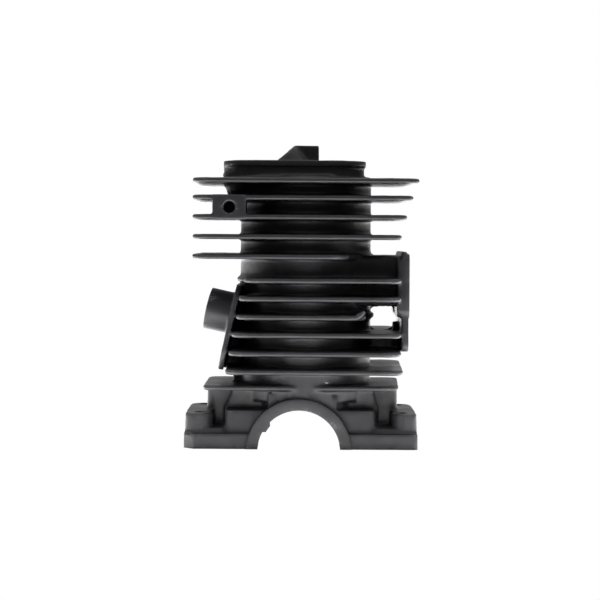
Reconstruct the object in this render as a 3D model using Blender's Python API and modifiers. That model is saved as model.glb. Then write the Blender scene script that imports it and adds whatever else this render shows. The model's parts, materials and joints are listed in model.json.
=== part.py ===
"""Air-cooled two-stroke cylinder with its piston set, for a small clamshell engine.

The cylinder, head, cooling fins and upper crankcase half are one die casting. It holds a cast-in
sleeve, and inside run a piston with two pegged rings and a full-floating gudgeon pin that carries
the small-end needle bearing.

The crank axis lies along Y just below the parting face, the bore stands along Z, the intake stub points to
-X and the exhaust flange to +X. The origin is the middle of the footprint in the parting plane, and
CRANK_X and CRANK_Y carry the crank axis, from which every other X and Y is counted.
"""
import math

import bmesh
import bpy
from mathutils import Matrix, Vector

# Running gear
BORE_RADIUS = 0.019
STROKE = 0.028
BORE_X = 0.0024  # the bore stands off the crank axis, towards the exhaust
BORE_TOP_Z = 0.0945
SQUISH = 0.0007
SLEEVE_WALL = 0.0017
SLEEVE_FOOT_Z = 0.029
CAST_GAP = 0.0003  # drawn gap between the casting and the sleeve cast into it
PISTON_CLEARANCE = 0.0001
PISTON_HEIGHT = 0.038
COMPRESSION_HEIGHT = 0.0215
CROWN_THICKNESS = 0.0035
SKIRT_WALL = 0.0018
RING_HEIGHT = 0.0012
RING_WIDTH = 0.0017
RING_PLAY = 0.0001
RING_LANDS = (0.0030, 0.0066)  # from the crown down to the top of each groove
RING_GAP = 0.0026
RING_PEG_RADIUS = 0.0005
RING_PEG_ANGLES = (math.radians(152), math.radians(208))
PIN_RADIUS = 0.005
PIN_BORE_RADIUS = 0.0033
PIN_LENGTH = 0.028
PIN_CLEARANCE = 0.0001
BOSS_RADIUS = 0.0082
BOSS_GAP = 0.0155  # between the faces of the two pin bosses
CLIP_WIRE_RADIUS = 0.0006
CLIP_BITE = 0.0005  # how deep the wire sits in its groove
CLIP_OPENING = math.radians(60)
NEEDLE_COUNT = 12
NEEDLE_RADIUS = 0.001
NEEDLE_LENGTH = 0.0098
NEEDLE_PLAY = 0.0001
CAGE_LENGTH = 0.013
CAGE_WALL = 0.0013

# Barrel and head
BARREL_RADIUS = 0.0265
BARREL_FOOT_Z = 0.018
BARREL_TOP_Z = 0.105
HEAD_LOW = (-0.0308, -0.0240, 0.0995)
HEAD_HIGH = (0.0257, 0.0240, 0.1119)
HEAD_CORNER = 0.014
TOP_PLATE_MARGIN = 0.0007
TOP_PLATE_Z = 0.1139
DOME_RADIUS = 0.0150
DOME_HEIGHT = 0.0075
TRANSFER_BULGE_HALF_WIDTH = 0.0124
TRANSFER_BULGE_Y = 0.0278
TRANSFER_BULGE_TOP_Z = 0.0745
BULGE_CORNER = 0.0045
TRANSFER_HALF_WIDTH = 0.0080
TRANSFER_WALL = 0.0025
POCKET_FOOT_Z = 0.0204
TRANSFER_FOOT_Z = 0.0215
TRANSFER_PORT_HEIGHT = 0.0045

# Spark plug boss
PLUG_TILT = math.radians(40.5)
PLUG_TIP_OFFSET = -0.0035  # where the plug's axis meets the dome, from the bore's axis
PLUG_THREAD_RADIUS = 0.0065
PLUG_REACH = 0.0127
PLUG_SEAT_RADIUS = 0.0098
PLUG_SEAT_DEPTH = 0.0020  # machined seat below the boss's slanted face
PLUG_BOSS_WALL = 0.0032
PLUG_BOSS_TOP_Z = 0.1205
PLUG_RIB_RIGHT = 0.0073
PLUG_RIB_HALF_DEPTH = 0.0065

# Fins, top one first: left reach, right reach and mid height
FIN_HALF_DEPTH = 0.0340
FIN_CORNER = 0.0065
FIN_THICKNESS = 0.0017
UPPER_FIN_LEFT = -0.0423
UPPER_FINS = (
    (UPPER_FIN_LEFT, 0.0468, 0.1057),
    (UPPER_FIN_LEFT, 0.0444, 0.0989),
    (UPPER_FIN_LEFT, 0.0420, 0.0913),
    (UPPER_FIN_LEFT, 0.0399, 0.0835),
    (UPPER_FIN_LEFT, 0.0190, 0.0757),
)
LOWER_FIN_RIGHT = 0.0399
LOWER_FINS = (
    (-0.0218, LOWER_FIN_RIGHT, 0.0663),
    (-0.0238, LOWER_FIN_RIGHT, 0.0591),
    (-0.0248, 0.0265, 0.0519),
    (-0.0265, LOWER_FIN_RIGHT, 0.0449),
    (-0.0277, LOWER_FIN_RIGHT, 0.0376),
    (-0.0291, 0.0405, 0.0304),
)
FIN_FLARE = 0.0020  # the two lowest fins reach this much further right at the back
FOOT_FIN_LEFT = -0.0378
FOOT_FIN_RIGHT = 0.0390
FOOT_FIN_FRONT = -0.0275
FOOT_FIN_BACK = 0.0215
FOOT_FIN_Z = 0.0238
PULSE_BOSS_LOW = (-0.0268, -0.0060, 0.0230)
PULSE_BOSS_HIGH = (-0.0180, 0.0060, 0.0300)

# Coil lug, a block between the second and third fins
COIL_LUG_LOW_X = -0.0343
COIL_LUG_HIGH_X = -0.0211
COIL_LUG_DEPTH = 0.0150
COIL_LUG_PROUD = 0.0004
COIL_HOLE_RADIUS = 0.0023
COIL_HOLE_DEPTH = 0.0120

# Intake
INTAKE_TILT = math.radians(12.3)
INTAKE_MOUTH = (-0.0372, 0.0543)  # X and Z of the middle of the stub's mouth
STUB_RADIUS = 0.0085
INTAKE_BORE_RADIUS = 0.0066
SHIELD_THICKNESS = 0.0020
SHIELD_LENGTH = 0.0342
SHIELD_HALF_DEPTH = 0.0220
SHIELD_STANDOFF = 0.0100  # from the stub's mouth to the shield's outer face
SHIELD_DROP = 0.0050  # the shield's middle below the stub's axis
SHIELD_RIB = ((-0.0305, 0.0300), (-0.0190, 0.0300), (-0.0190, 0.0560), (-0.0255, 0.0560))
RIB_HALF_DEPTH = 0.0020

# Exhaust
FLANGE_INNER_X = 0.0387
FLANGE_FACE_X = 0.0436
FLANGE_HALF_DEPTH = 0.0220
FLANGE_LOW_Z = 0.0379
FLANGE_HIGH_Z = 0.0779
FLANGE_STEP_Z = 0.0517  # below this the flange is a thin plate, set back from the face
FLANGE_PLATE_LOW_X = 0.0412
FLANGE_PLATE_HIGH_X = 0.0434
FLANGE_BOSS_RADIUS = 0.0052
FLANGE_BOSS_INNER_X = 0.0380
FLANGE_PLATE_HALF_DEPTH = 0.0214
DUCT_HALF_DEPTH = 0.0185
DUCT_LOW_Z = 0.0560
DUCT_HIGH_Z = 0.0763
EXHAUST_HALF_WIDTH = 0.0100
EXHAUST_LOW_Z = 0.0600
EXHAUST_TOP_DROP = 0.0200  # top edge of the port below the crown at top dead centre
FLANGE_HOLE_RADIUS = 0.0021
FLANGE_HOLES = ((-0.0165, 0.0668), (0.0165, 0.0668), (0.0, 0.0440))

# Crankcase half
BASE_LEFT = -0.0454
BASE_RIGHT = 0.0468
BASE_HALF_DEPTH = 0.0284
BASE_THICKNESS = 0.0060
CASE_LEFT = -0.0367
CASE_RIGHT = 0.0397
CASE_HALF_DEPTH = 0.0170
FRONT_WALL_LEFT = -0.0266
FRONT_WALL_RIGHT = 0.0303
FRONT_WALL_HALF_DEPTH = 0.0225
CHEEK_LEFT = -0.0297
CHEEK_RIGHT = 0.0306
CHEEK_HALF_DEPTH = 0.0252
CHEEK_TOP_Z = 0.0149
LUG_TOP_Z = 0.0137
LUG_INNER_LEFT = -0.0339
LUG_INNER_RIGHT = 0.0366
LUG_FRONT = -0.0264
LUG_BACK = 0.0215
LUG_INSET = 0.0003
LUG_CORNER = 0.0040
SCREW_HOLE_RADIUS = 0.0022
SCREW_X = (-0.0386, 0.0402)
SCREW_Y = (-0.0195, 0.0150)
CRANK_AXIS_Z = -0.0010  # the crank axis lies this far below the parting face
ARCH_RADIUS = 0.0255
ARCH_HALF_DEPTH = 0.0251
SEAT_RADIUS = 0.0163
SEAT_WALL = 0.0045
SEAT_HALF_DEPTH = 0.0292
SEAT_GROOVE_DEPTH = 0.0009
SEAT_GROOVE_HALF_WIDTH = 0.0008
SEAT_GROOVE_Y = 0.0235
SEAT_TAB_INNER_X = -0.0113
SEAT_TAB_LOW_Z = 0.0068
SEAT_TAB_HIGH_Z = 0.0112
SEAT_TAB_DEPTH = 0.0040
CAVITY_RADIUS = 0.0275
CAVITY_HALF_DEPTH = 0.0130

ROUND_STEPS = 64
BOSS_STEPS = 30
HOLE_STEPS = 20
CORNER_STEPS = 4
SLACK = 0.010  # how far a cutter runs past the wall that it cuts

# Worked out from the values above
CRANK_X = -(BASE_LEFT + BASE_RIGHT) / 2
CRANK_Y = COIL_LUG_PROUD / 2
CROWN_Z = BORE_TOP_Z - SQUISH
PIN_Z = CROWN_Z - COMPRESSION_HEIGHT
PISTON_RADIUS = BORE_RADIUS - PISTON_CLEARANCE
SLEEVE_RADIUS = BORE_RADIUS + SLEEVE_WALL
POCKET_RADIUS = SLEEVE_RADIUS + CAST_GAP
BDC_Z = CROWN_Z - STROKE
NEEDLE_ORBIT = PIN_RADIUS + NEEDLE_RADIUS + NEEDLE_PLAY
CLIP_Y = PIN_LENGTH / 2 + CLIP_WIRE_RADIUS + PIN_CLEARANCE
PLUG_AXIS = Vector((-math.sin(PLUG_TILT), 0, math.cos(PLUG_TILT)))
INTAKE_AXIS = Vector((math.cos(INTAKE_TILT), 0, -math.sin(INTAKE_TILT)))


# ---------------------------------------------------------------- scene and helpers
def clear_scene():
    for obj in list(bpy.data.objects):
        bpy.data.objects.remove(obj)


def new_collection(name):
    made = bpy.data.collections.new(name)
    bpy.context.scene.collection.children.link(made)
    return made


def new_material(name, colour, roughness, metallic):
    made = bpy.data.materials.new(name)
    made.use_nodes = True
    shader = made.node_tree.nodes["Principled BSDF"]
    shader.inputs["Base Color"].default_value = (*colour, 1)
    shader.inputs["Roughness"].default_value = roughness
    shader.inputs["Metallic"].default_value = metallic
    return made


def new_object(name, mesh, collection, material=None, at=(0, 0, 0)):
    """An object of this mesh, held by the empty on the crank axis."""
    obj = bpy.data.objects.new(name, mesh)
    collection.objects.link(obj)
    obj.parent = crank_axis
    obj.location = at
    if material:
        obj.data.materials.append(material)
    if collection in (solids, cutters, guides):
        obj.hide_render = True
        obj.display_type = "WIRE"
    return obj


def from_bmesh(name, bm, collection, material=None, at=(0, 0, 0)):
    mesh = bpy.data.meshes.new(name)
    bm.to_mesh(mesh)
    bm.free()
    return new_object(name, mesh, collection, material, at)


def block(name, low, high, collection, corner=0.0, along="Z", flare=0.0):
    """A box between two corners, its four edges along one axis rounded. A flare moves its back right
    edge further right."""
    low, high = Vector(low), Vector(high)
    bm = bmesh.new()
    bmesh.ops.create_cube(bm, size=1)
    bmesh.ops.scale(bm, vec=high - low, verts=bm.verts)
    bmesh.ops.translate(bm, vec=(low + high) / 2, verts=bm.verts)
    if flare:
        middle = (low + high) / 2
        back_right = [v for v in bm.verts if v.co.x > middle.x and v.co.y > middle.y]
        bmesh.ops.translate(bm, vec=(flare, 0, 0), verts=back_right)
    if corner:
        axis = "XYZ".index(along)
        edges = [e for e in bm.edges if abs((e.verts[0].co - e.verts[1].co)[axis]) > 1e-6]
        bmesh.ops.bevel(bm, geom=edges, offset=corner, segments=CORNER_STEPS, profile=0.5,
                        affect="EDGES", clamp_overlap=True, material=-1)
    return from_bmesh(name, bm, collection)


def rod(name, start, end, radius, collection, steps=HOLE_STEPS, material=None, end_radius=None):
    """A round bar between two points, tapered if it has a second radius."""
    start, end = Vector(start), Vector(end)
    turn = (end - start).to_track_quat("Z", "Y").to_matrix().to_4x4()
    bm = bmesh.new()
    bmesh.ops.create_cone(bm, cap_ends=True, segments=steps, radius1=radius,
                          radius2=radius if end_radius is None else end_radius,
                          depth=(end - start).length,
                          matrix=Matrix.Translation((start + end) / 2) @ turn)
    return from_bmesh(name, bm, collection, material)


def extruded(name, outline, low_y, high_y, collection):
    """An outline in X and Z, carried along Y."""
    bm = bmesh.new()
    face = bm.faces.new([bm.verts.new((x, low_y, z)) for x, z in outline])
    grown = bmesh.ops.extrude_face_region(bm, geom=[face])["geom"]
    moved = [v for v in grown if isinstance(v, bmesh.types.BMVert)]
    bmesh.ops.translate(bm, vec=(0, high_y - low_y, 0), verts=moved)
    bmesh.ops.recalc_face_normals(bm, faces=bm.faces)
    return from_bmesh(name, bm, collection)


def turned(name, profile, collection, material=None, at=(0, 0, 0), steps=ROUND_STEPS, axis="Z"):
    """A profile of radius and height, turned round an axis. It runs down the outer side, and is closed
    unless both its ends lie on the axis."""
    mesh = bpy.data.meshes.new(name)
    points = [(r, 0, h) for r, h in profile]
    edges = [(i, i + 1) for i in range(len(points) - 1)]
    if points[0][0] > 0 or points[-1][0] > 0:
        edges.append((len(points) - 1, 0))
    mesh.from_pydata(points, edges, [])
    obj = new_object(name, mesh, collection, material, at)
    screw = obj.modifiers.new("turn", "SCREW")
    screw.steps = screw.render_steps = steps
    screw.use_merge_vertices = True
    screw.merge_threshold = 1e-6
    screw.use_smooth_shade = False
    if axis == "Y":
        obj.rotation_euler = (math.radians(-90), 0, 0)
    return obj


def join_all(obj, collection):
    union = obj.modifiers.new("join", "BOOLEAN")
    union.operation = "UNION"
    union.operand_type = "COLLECTION"
    union.collection = collection
    union.solver = "EXACT"


def cut_all(obj, collection):
    cut = obj.modifiers.new("cut", "BOOLEAN")
    cut.operation = "DIFFERENCE"
    cut.operand_type = "COLLECTION"
    cut.collection = collection
    cut.solver = "EXACT"


def combine(obj, operation, *others):
    for other in others:
        step = obj.modifiers.new(operation.lower(), "BOOLEAN")
        step.operation = operation
        step.object = other
        step.solver = "EXACT"


def shade(obj, angle=35):
    """Smooth shading with edges sharper than the angle left crisp."""
    obj.data.shade_smooth()
    obj.data.set_sharp_from_angle(angle=math.radians(angle))


# ---------------------------------------------------------------- casting, its solid pieces
def barrel():
    rod("barrel", (BORE_X, 0, BARREL_FOOT_Z), (BORE_X, 0, BARREL_TOP_Z), BARREL_RADIUS, solids,
        ROUND_STEPS)
    block("transfer_bulge", (BORE_X - TRANSFER_BULGE_HALF_WIDTH, -TRANSFER_BULGE_Y, 0.010),
          (BORE_X + TRANSFER_BULGE_HALF_WIDTH, TRANSFER_BULGE_Y, TRANSFER_BULGE_TOP_Z), solids,
          BULGE_CORNER)


def head():
    block("head_block", HEAD_LOW, HEAD_HIGH, solids, HEAD_CORNER)
    margin = TOP_PLATE_MARGIN
    block("top_plate", (HEAD_LOW[0] - margin, HEAD_LOW[1] - margin, HEAD_HIGH[2] - 0.0002),
          (HEAD_HIGH[0] + margin, HEAD_HIGH[1] + margin, TOP_PLATE_Z), solids, HEAD_CORNER)


def plug_points():
    """Where the plug's axis meets the dome, and the middle of its seat."""
    tip = Vector((BORE_X + PLUG_TIP_OFFSET, 0, BORE_TOP_Z + DOME_HEIGHT))
    return tip, tip + PLUG_AXIS * PLUG_REACH


def plug_boss():
    """A round boss square to the plug's axis, backed by a rib that ends in the same slanted face."""
    face = plug_points()[1] + PLUG_AXIS * PLUG_SEAT_DEPTH
    rod("plug_boss", face - PLUG_AXIS * 0.016, face, PLUG_SEAT_RADIUS + PLUG_BOSS_WALL, solids, 48)
    rib_top_z = PLUG_BOSS_TOP_Z + 0.001  # cut down to the boss's top afterwards
    break_x = face.x + (rib_top_z - face.z) / math.tan(PLUG_TILT)
    foot_z = HEAD_LOW[2] + 0.002
    outline = ((face.x, foot_z), (face.x, face.z), (break_x, rib_top_z), (PLUG_RIB_RIGHT, rib_top_z),
               (PLUG_RIB_RIGHT, foot_z))
    extruded("plug_rib", outline, -PLUG_RIB_HALF_DEPTH, PLUG_RIB_HALF_DEPTH, solids)
    block("above_boss", (HEAD_LOW[0], HEAD_LOW[1], PLUG_BOSS_TOP_Z),
          (HEAD_HIGH[0], HEAD_HIGH[1], PLUG_BOSS_TOP_Z + SLACK), cutters)


def fin(name, left, right, z, front=-FIN_HALF_DEPTH, back=FIN_HALF_DEPTH, flare=0.0):
    half = FIN_THICKNESS / 2
    block(name, (left, front, z - half), (right, back, z + half), solids, FIN_CORNER, flare=flare)


def fins():
    for number, (left, right, z) in enumerate(UPPER_FINS + LOWER_FINS[:-1], 1):
        fin(f"fin_{number:02d}", left, right, z)
    fin("lowest_fin", *LOWER_FINS[-1], flare=FIN_FLARE)
    fin("foot_fin", FOOT_FIN_LEFT, FOOT_FIN_RIGHT, FOOT_FIN_Z, FOOT_FIN_FRONT, FOOT_FIN_BACK, FIN_FLARE)
    block("pulse_boss", PULSE_BOSS_LOW, PULSE_BOSS_HIGH, solids)


def coil_lug():
    top = UPPER_FINS[1][2] + FIN_THICKNESS / 2
    foot = UPPER_FINS[2][2] - FIN_THICKNESS / 2
    front = -FIN_HALF_DEPTH - COIL_LUG_PROUD
    proud = 0.0001
    block("coil_lug", (COIL_LUG_LOW_X, front, foot - proud),
          (COIL_LUG_HIGH_X, front + COIL_LUG_DEPTH, top + proud), solids)
    middle = Vector(((COIL_LUG_LOW_X + COIL_LUG_HIGH_X) / 2, front, (top + foot) / 2))
    rod("coil_hole", middle - Vector((0, SLACK, 0)), middle + Vector((0, COIL_HOLE_DEPTH, 0)),
        COIL_HOLE_RADIUS, cutters)


def intake():
    mouth = Vector((INTAKE_MOUTH[0], 0, INTAKE_MOUTH[1]))
    wall = mouth + INTAKE_AXIS * ((BORE_X - BORE_RADIUS - mouth.x) / INTAKE_AXIS.x)
    rod("intake_stub", mouth, wall - INTAKE_AXIS * 0.001, STUB_RADIUS, solids, 32)
    rod("intake_bore", mouth - INTAKE_AXIS * SLACK, wall + INTAKE_AXIS * SLACK / 2,
        INTAKE_BORE_RADIUS, cutters, 32)
    shield = block("intake_shield", (0, -SHIELD_HALF_DEPTH, -SHIELD_LENGTH / 2),
                   (SHIELD_THICKNESS, SHIELD_HALF_DEPTH, SHIELD_LENGTH / 2), solids, 0.008, "X")
    shield.rotation_euler = (0, INTAKE_TILT, 0)
    across = Vector((math.sin(INTAKE_TILT), 0, math.cos(INTAKE_TILT)))
    shield.location = mouth + INTAKE_AXIS * SHIELD_STANDOFF - across * SHIELD_DROP
    extruded("shield_rib", SHIELD_RIB, -RIB_HALF_DEPTH, RIB_HALF_DEPTH, solids)


def exhaust():
    block("exhaust_duct", (BORE_X, -DUCT_HALF_DEPTH, DUCT_LOW_Z),
          (FLANGE_INNER_X + 0.001, DUCT_HALF_DEPTH, DUCT_HIGH_Z), solids, 0.003, "X")
    block("exhaust_flange", (FLANGE_INNER_X, -FLANGE_HALF_DEPTH, FLANGE_STEP_Z),
          (FLANGE_FACE_X, FLANGE_HALF_DEPTH, FLANGE_HIGH_Z), solids, 0.003, "X")
    block("flange_plate", (FLANGE_PLATE_LOW_X, -FLANGE_PLATE_HALF_DEPTH, FLANGE_LOW_Z),
          (FLANGE_PLATE_HIGH_X, FLANGE_PLATE_HALF_DEPTH, FLANGE_STEP_Z + 0.0055), solids, 0.003, "X")
    foot_y, foot_z = FLANGE_HOLES[2]
    rod("flange_boss", (FLANGE_BOSS_INNER_X, foot_y, foot_z), (FLANGE_FACE_X, foot_y, foot_z),
        FLANGE_BOSS_RADIUS, solids, BOSS_STEPS)
    block("flange_rib", (BORE_X + BORE_RADIUS, -RIB_HALF_DEPTH, LOWER_FINS[4][2]),
          (FLANGE_BOSS_INNER_X + 0.001, RIB_HALF_DEPTH, LOWER_FINS[3][2]), solids)
    block("exhaust_port", (BORE_X + BORE_RADIUS / 2, -EXHAUST_HALF_WIDTH, EXHAUST_LOW_Z),
          (FLANGE_FACE_X + SLACK, EXHAUST_HALF_WIDTH, CROWN_Z - EXHAUST_TOP_DROP), cutters, 0.004, "X")
    for number, (y, z) in enumerate(FLANGE_HOLES, 1):
        rod(f"flange_hole_{number}", (FLANGE_INNER_X - 0.004, y, z), (FLANGE_FACE_X + SLACK, y, z),
            FLANGE_HOLE_RADIUS, cutters)


def along_crank(name, low_y, high_y, radius, collection):
    """A round bar on the crank axis."""
    return rod(name, (0, low_y, CRANK_AXIS_Z), (0, high_y, CRANK_AXIS_Z), radius, collection, ROUND_STEPS)


def crankcase():
    block("base_flange", (BASE_LEFT, -BASE_HALF_DEPTH, 0), (BASE_RIGHT, BASE_HALF_DEPTH, BASE_THICKNESS),
          solids, 0.003)
    block("case_block", (CASE_LEFT, -CASE_HALF_DEPTH, 0), (CASE_RIGHT, CASE_HALF_DEPTH, FOOT_FIN_Z),
          solids, 0.004)
    block("front_wall", (FRONT_WALL_LEFT, -FRONT_WALL_HALF_DEPTH, 0),
          (FRONT_WALL_RIGHT, FRONT_WALL_HALF_DEPTH, FOOT_FIN_Z - FIN_THICKNESS / 4), solids, 0.003)
    block("cheek", (CHEEK_LEFT, -CHEEK_HALF_DEPTH, 0), (CHEEK_RIGHT, CHEEK_HALF_DEPTH, CHEEK_TOP_Z),
          solids, 0.002)
    block("lug_left", (BASE_LEFT + LUG_INSET, LUG_FRONT, 0), (LUG_INNER_LEFT, LUG_BACK, LUG_TOP_Z),
          solids, LUG_CORNER)
    block("lug_right", (LUG_INNER_RIGHT, LUG_FRONT, 0), (BASE_RIGHT - LUG_INSET, LUG_BACK, LUG_TOP_Z),
          solids, LUG_CORNER)
    along_crank("arch", -ARCH_HALF_DEPTH, ARCH_HALF_DEPTH, ARCH_RADIUS, solids)
    along_crank("seat_ring", -SEAT_HALF_DEPTH, SEAT_HALF_DEPTH, SEAT_RADIUS + SEAT_WALL, solids)
    for x in SCREW_X:
        for y in SCREW_Y:
            rod(f"screw_hole_{x:.3f}_{y:.3f}", (x, y, -SLACK), (x, y, LUG_TOP_Z + SLACK),
                SCREW_HOLE_RADIUS, cutters)


# ---------------------------------------------------------------- casting, its cutters
def crank_space():
    """The seats for the bearings and seals, the web cavity, and the flat parting face."""
    seat = along_crank("seat_bore", -SEAT_HALF_DEPTH - SLACK, SEAT_HALF_DEPTH + SLACK, SEAT_RADIUS, cutters)
    tab = block("seat_tab", (-SEAT_RADIUS - 0.002, -SEAT_HALF_DEPTH - 2 * SLACK, SEAT_TAB_LOW_Z),
                (SEAT_TAB_INNER_X, -SEAT_HALF_DEPTH + SEAT_TAB_DEPTH, SEAT_TAB_HIGH_Z), guides)
    combine(seat, "DIFFERENCE", tab)
    for side in (-1, 1):
        y = side * SEAT_GROOVE_Y
        along_crank(f"seat_groove_{side}", y - SEAT_GROOVE_HALF_WIDTH, y + SEAT_GROOVE_HALF_WIDTH,
                    SEAT_RADIUS + SEAT_GROOVE_DEPTH, cutters)
    along_crank("cavity", -CAVITY_HALF_DEPTH, CAVITY_HALF_DEPTH, CAVITY_RADIUS, cutters)
    block("below_parting", (BASE_LEFT - SLACK, -0.05, -0.05), (BASE_RIGHT + SLACK, 0.05, 0), cutters)


def bore_space():
    """The pocket for the sleeve, the combustion dome, the plug hole and the transfer passages."""
    arc = [math.radians(90 * i / 6) for i in range(7)]
    sphere = (DOME_RADIUS ** 2 + DOME_HEIGHT ** 2) / (2 * DOME_HEIGHT)
    sweep = math.asin(DOME_RADIUS / sphere)
    dome = [(sphere * math.sin(a / arc[-1] * sweep),
             BORE_TOP_Z + DOME_HEIGHT - sphere * (1 - math.cos(a / arc[-1] * sweep))) for a in arc]
    turned("bore_pocket",
           dome + [(POCKET_RADIUS, BORE_TOP_Z), (POCKET_RADIUS, POCKET_FOOT_Z), (0, POCKET_FOOT_Z)],
           cutters, at=(BORE_X, 0, 0))
    tip, seat = plug_points()
    rod("plug_thread", tip - PLUG_AXIS * 0.006, seat + PLUG_AXIS * 0.001, PLUG_THREAD_RADIUS, cutters, 32)
    rod("plug_seat", seat, seat + PLUG_AXIS * 0.040, PLUG_SEAT_RADIUS, cutters, 32)
    for side in (-1, 1):
        near, far = POCKET_RADIUS - 0.006, TRANSFER_BULGE_Y - TRANSFER_WALL
        low_y, high_y = sorted((side * near, side * far))
        block(f"transfer_passage_{side}", (BORE_X - TRANSFER_HALF_WIDTH, low_y, TRANSFER_FOOT_Z),
              (BORE_X + TRANSFER_HALF_WIDTH, high_y, BDC_Z + TRANSFER_PORT_HEIGHT), cutters)


def casting():
    barrel()
    head()
    plug_boss()
    fins()
    coil_lug()
    intake()
    exhaust()
    crankcase()
    crank_space()
    bore_space()
    core = block("cylinder_casting", (CHEEK_LEFT, -0.020, 0.0), (CHEEK_RIGHT, 0.020, 0.012), parts)
    core.data.materials.append(cast_paint)
    join_all(core, solids)
    cut_all(core, cutters)


# ---------------------------------------------------------------- the pieces inside
def sleeve():
    obj = turned("cylinder_sleeve",
                 [(SLEEVE_RADIUS, BORE_TOP_Z - CAST_GAP), (SLEEVE_RADIUS, SLEEVE_FOOT_Z),
                  (BORE_RADIUS, SLEEVE_FOOT_Z), (BORE_RADIUS, BORE_TOP_Z - CAST_GAP)],
                 parts, iron, (BORE_X, 0, 0))
    port_top = CROWN_Z - EXHAUST_TOP_DROP
    exhaust_window = block("exhaust_window", (BORE_X + BORE_RADIUS / 2, -EXHAUST_HALF_WIDTH, BDC_Z),
                           (BORE_X + BORE_RADIUS + SLACK, EXHAUST_HALF_WIDTH, port_top), guides,
                           0.002, "X")
    mouth = Vector((INTAKE_MOUTH[0], 0, INTAKE_MOUTH[1]))
    inside = mouth + INTAKE_AXIS * ((BORE_X - mouth.x) / INTAKE_AXIS.x - BORE_RADIUS / 2)
    intake_window = rod("intake_window", mouth, inside, INTAKE_BORE_RADIUS, guides, 32)
    combine(obj, "DIFFERENCE", exhaust_window, intake_window)
    for side in (-1, 1):
        low_y, high_y = sorted((side * BORE_RADIUS / 2, side * (BORE_RADIUS + SLACK)))
        window = block(f"transfer_window_{side}", (BORE_X - TRANSFER_HALF_WIDTH, low_y, BDC_Z),
                       (BORE_X + TRANSFER_HALF_WIDTH, high_y, BDC_Z + TRANSFER_PORT_HEIGHT), guides)
        combine(obj, "DIFFERENCE", window)


def ring_tops():
    return [CROWN_Z - land for land in RING_LANDS]


def piston():
    r, inner = PISTON_RADIUS, PISTON_RADIUS - SKIRT_WALL
    groove_r = BORE_RADIUS - RING_WIDTH - 3 * RING_PLAY
    foot = CROWN_Z - PISTON_HEIGHT
    profile = [(0, CROWN_Z), (r, CROWN_Z)]
    for top in ring_tops():
        low = top - RING_HEIGHT - 2 * RING_PLAY
        profile += [(r, top), (groove_r, top), (groove_r, low), (r, low)]
    belt = ring_tops()[1] - RING_HEIGHT - 0.002
    belt_inner = groove_r - 0.0022
    profile += [(r, foot), (inner, foot), (inner, belt - 0.002), (belt_inner, belt),
                (belt_inner, CROWN_Z - CROWN_THICKNESS - 0.002),
                (belt_inner - 0.002, CROWN_Z - CROWN_THICKNESS), (0, CROWN_Z - CROWN_THICKNESS)]
    obj = turned("piston", profile, parts, bright, (BORE_X, 0, 0))
    half = BOSS_GAP / 2
    for side in (-1, 1):
        end = side * (inner + SKIRT_WALL / 2)
        boss = rod(f"pin_boss_{side}", (BORE_X, side * half, PIN_Z), (BORE_X, end, PIN_Z), BOSS_RADIUS,
                   guides, BOSS_STEPS)
        keep_in = turned(f"skirt_limit_{side}", [(0, CROWN_Z - 0.001), (r - 0.0004, CROWN_Z - 0.001),
                                                 (r - 0.0004, foot - SLACK), (0, foot - SLACK)],
                         guides, at=(BORE_X, 0, 0))
        combine(boss, "INTERSECT", keep_in)
        combine(obj, "UNION", boss)
    pin_bore = rod("pin_bore", (BORE_X, -r - SLACK, PIN_Z), (BORE_X, r + SLACK, PIN_Z),
                   PIN_RADIUS + PIN_CLEARANCE, guides, BOSS_STEPS)
    combine(obj, "DIFFERENCE", pin_bore)
    groove_half = CLIP_WIRE_RADIUS + 0.0001
    for side in (-1, 1):
        y = side * CLIP_Y
        groove = rod(f"clip_groove_{side}", (BORE_X, y - groove_half, PIN_Z),
                     (BORE_X, y + groove_half, PIN_Z),
                     PIN_RADIUS + PIN_CLEARANCE + CLIP_BITE + 0.0001, guides, BOSS_STEPS)
        combine(obj, "DIFFERENCE", groove)
    for number, (start, end) in enumerate(peg_lines(0.0002), 1):
        combine(obj, "DIFFERENCE", rod(f"peg_hole_{number}", start, end, RING_PEG_RADIUS + 0.0001,
                                       guides, 12))


def peg_lines(deeper=0.0):
    """Start and end of each ring peg, which points out of its groove into the ring's gap."""
    outer = BORE_RADIUS - 0.0008
    inner = BORE_RADIUS - RING_WIDTH - 3 * RING_PLAY - 0.0015 - deeper
    lines = []
    for angle, top in zip(RING_PEG_ANGLES, ring_tops()):
        z = top - RING_PLAY - RING_HEIGHT / 2
        out = Vector((math.cos(angle), math.sin(angle), 0))
        centre = Vector((BORE_X, 0, z))
        lines.append((centre + out * inner, centre + out * outer))
    return lines


def rings():
    names = ("upper_piston_ring", "lower_piston_ring")
    outer = BORE_RADIUS - RING_PLAY / 2
    for name, angle, top in zip(names, RING_PEG_ANGLES, ring_tops()):
        high = top - RING_PLAY
        low = high - RING_HEIGHT
        inner = BORE_RADIUS - RING_WIDTH
        obj = turned(name, [(outer, high), (outer, low), (inner, low), (inner, high)], parts, steel,
                     (BORE_X, 0, 0))
        gap = block(f"{name}_gap", (BORE_RADIUS / 2, -RING_GAP / 2, low - 0.002),
                    (BORE_RADIUS * 1.5, RING_GAP / 2, high + 0.002), guides)
        gap.location = (BORE_X, 0, 0)
        gap.rotation_euler = (0, 0, angle)
        combine(obj, "DIFFERENCE", gap)
    for name, (start, end) in zip(("upper_ring_peg", "lower_ring_peg"), peg_lines()):
        rod(name, start, end, RING_PEG_RADIUS - 0.0001, parts, 12, steel)


def gudgeon_pin():
    half = PIN_LENGTH / 2
    turned("gudgeon_pin", [(PIN_RADIUS, half), (PIN_RADIUS, -half), (PIN_BORE_RADIUS, -half),
                           (PIN_BORE_RADIUS, half)], parts, steel, (BORE_X, 0, PIN_Z), 48, "Y")


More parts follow.
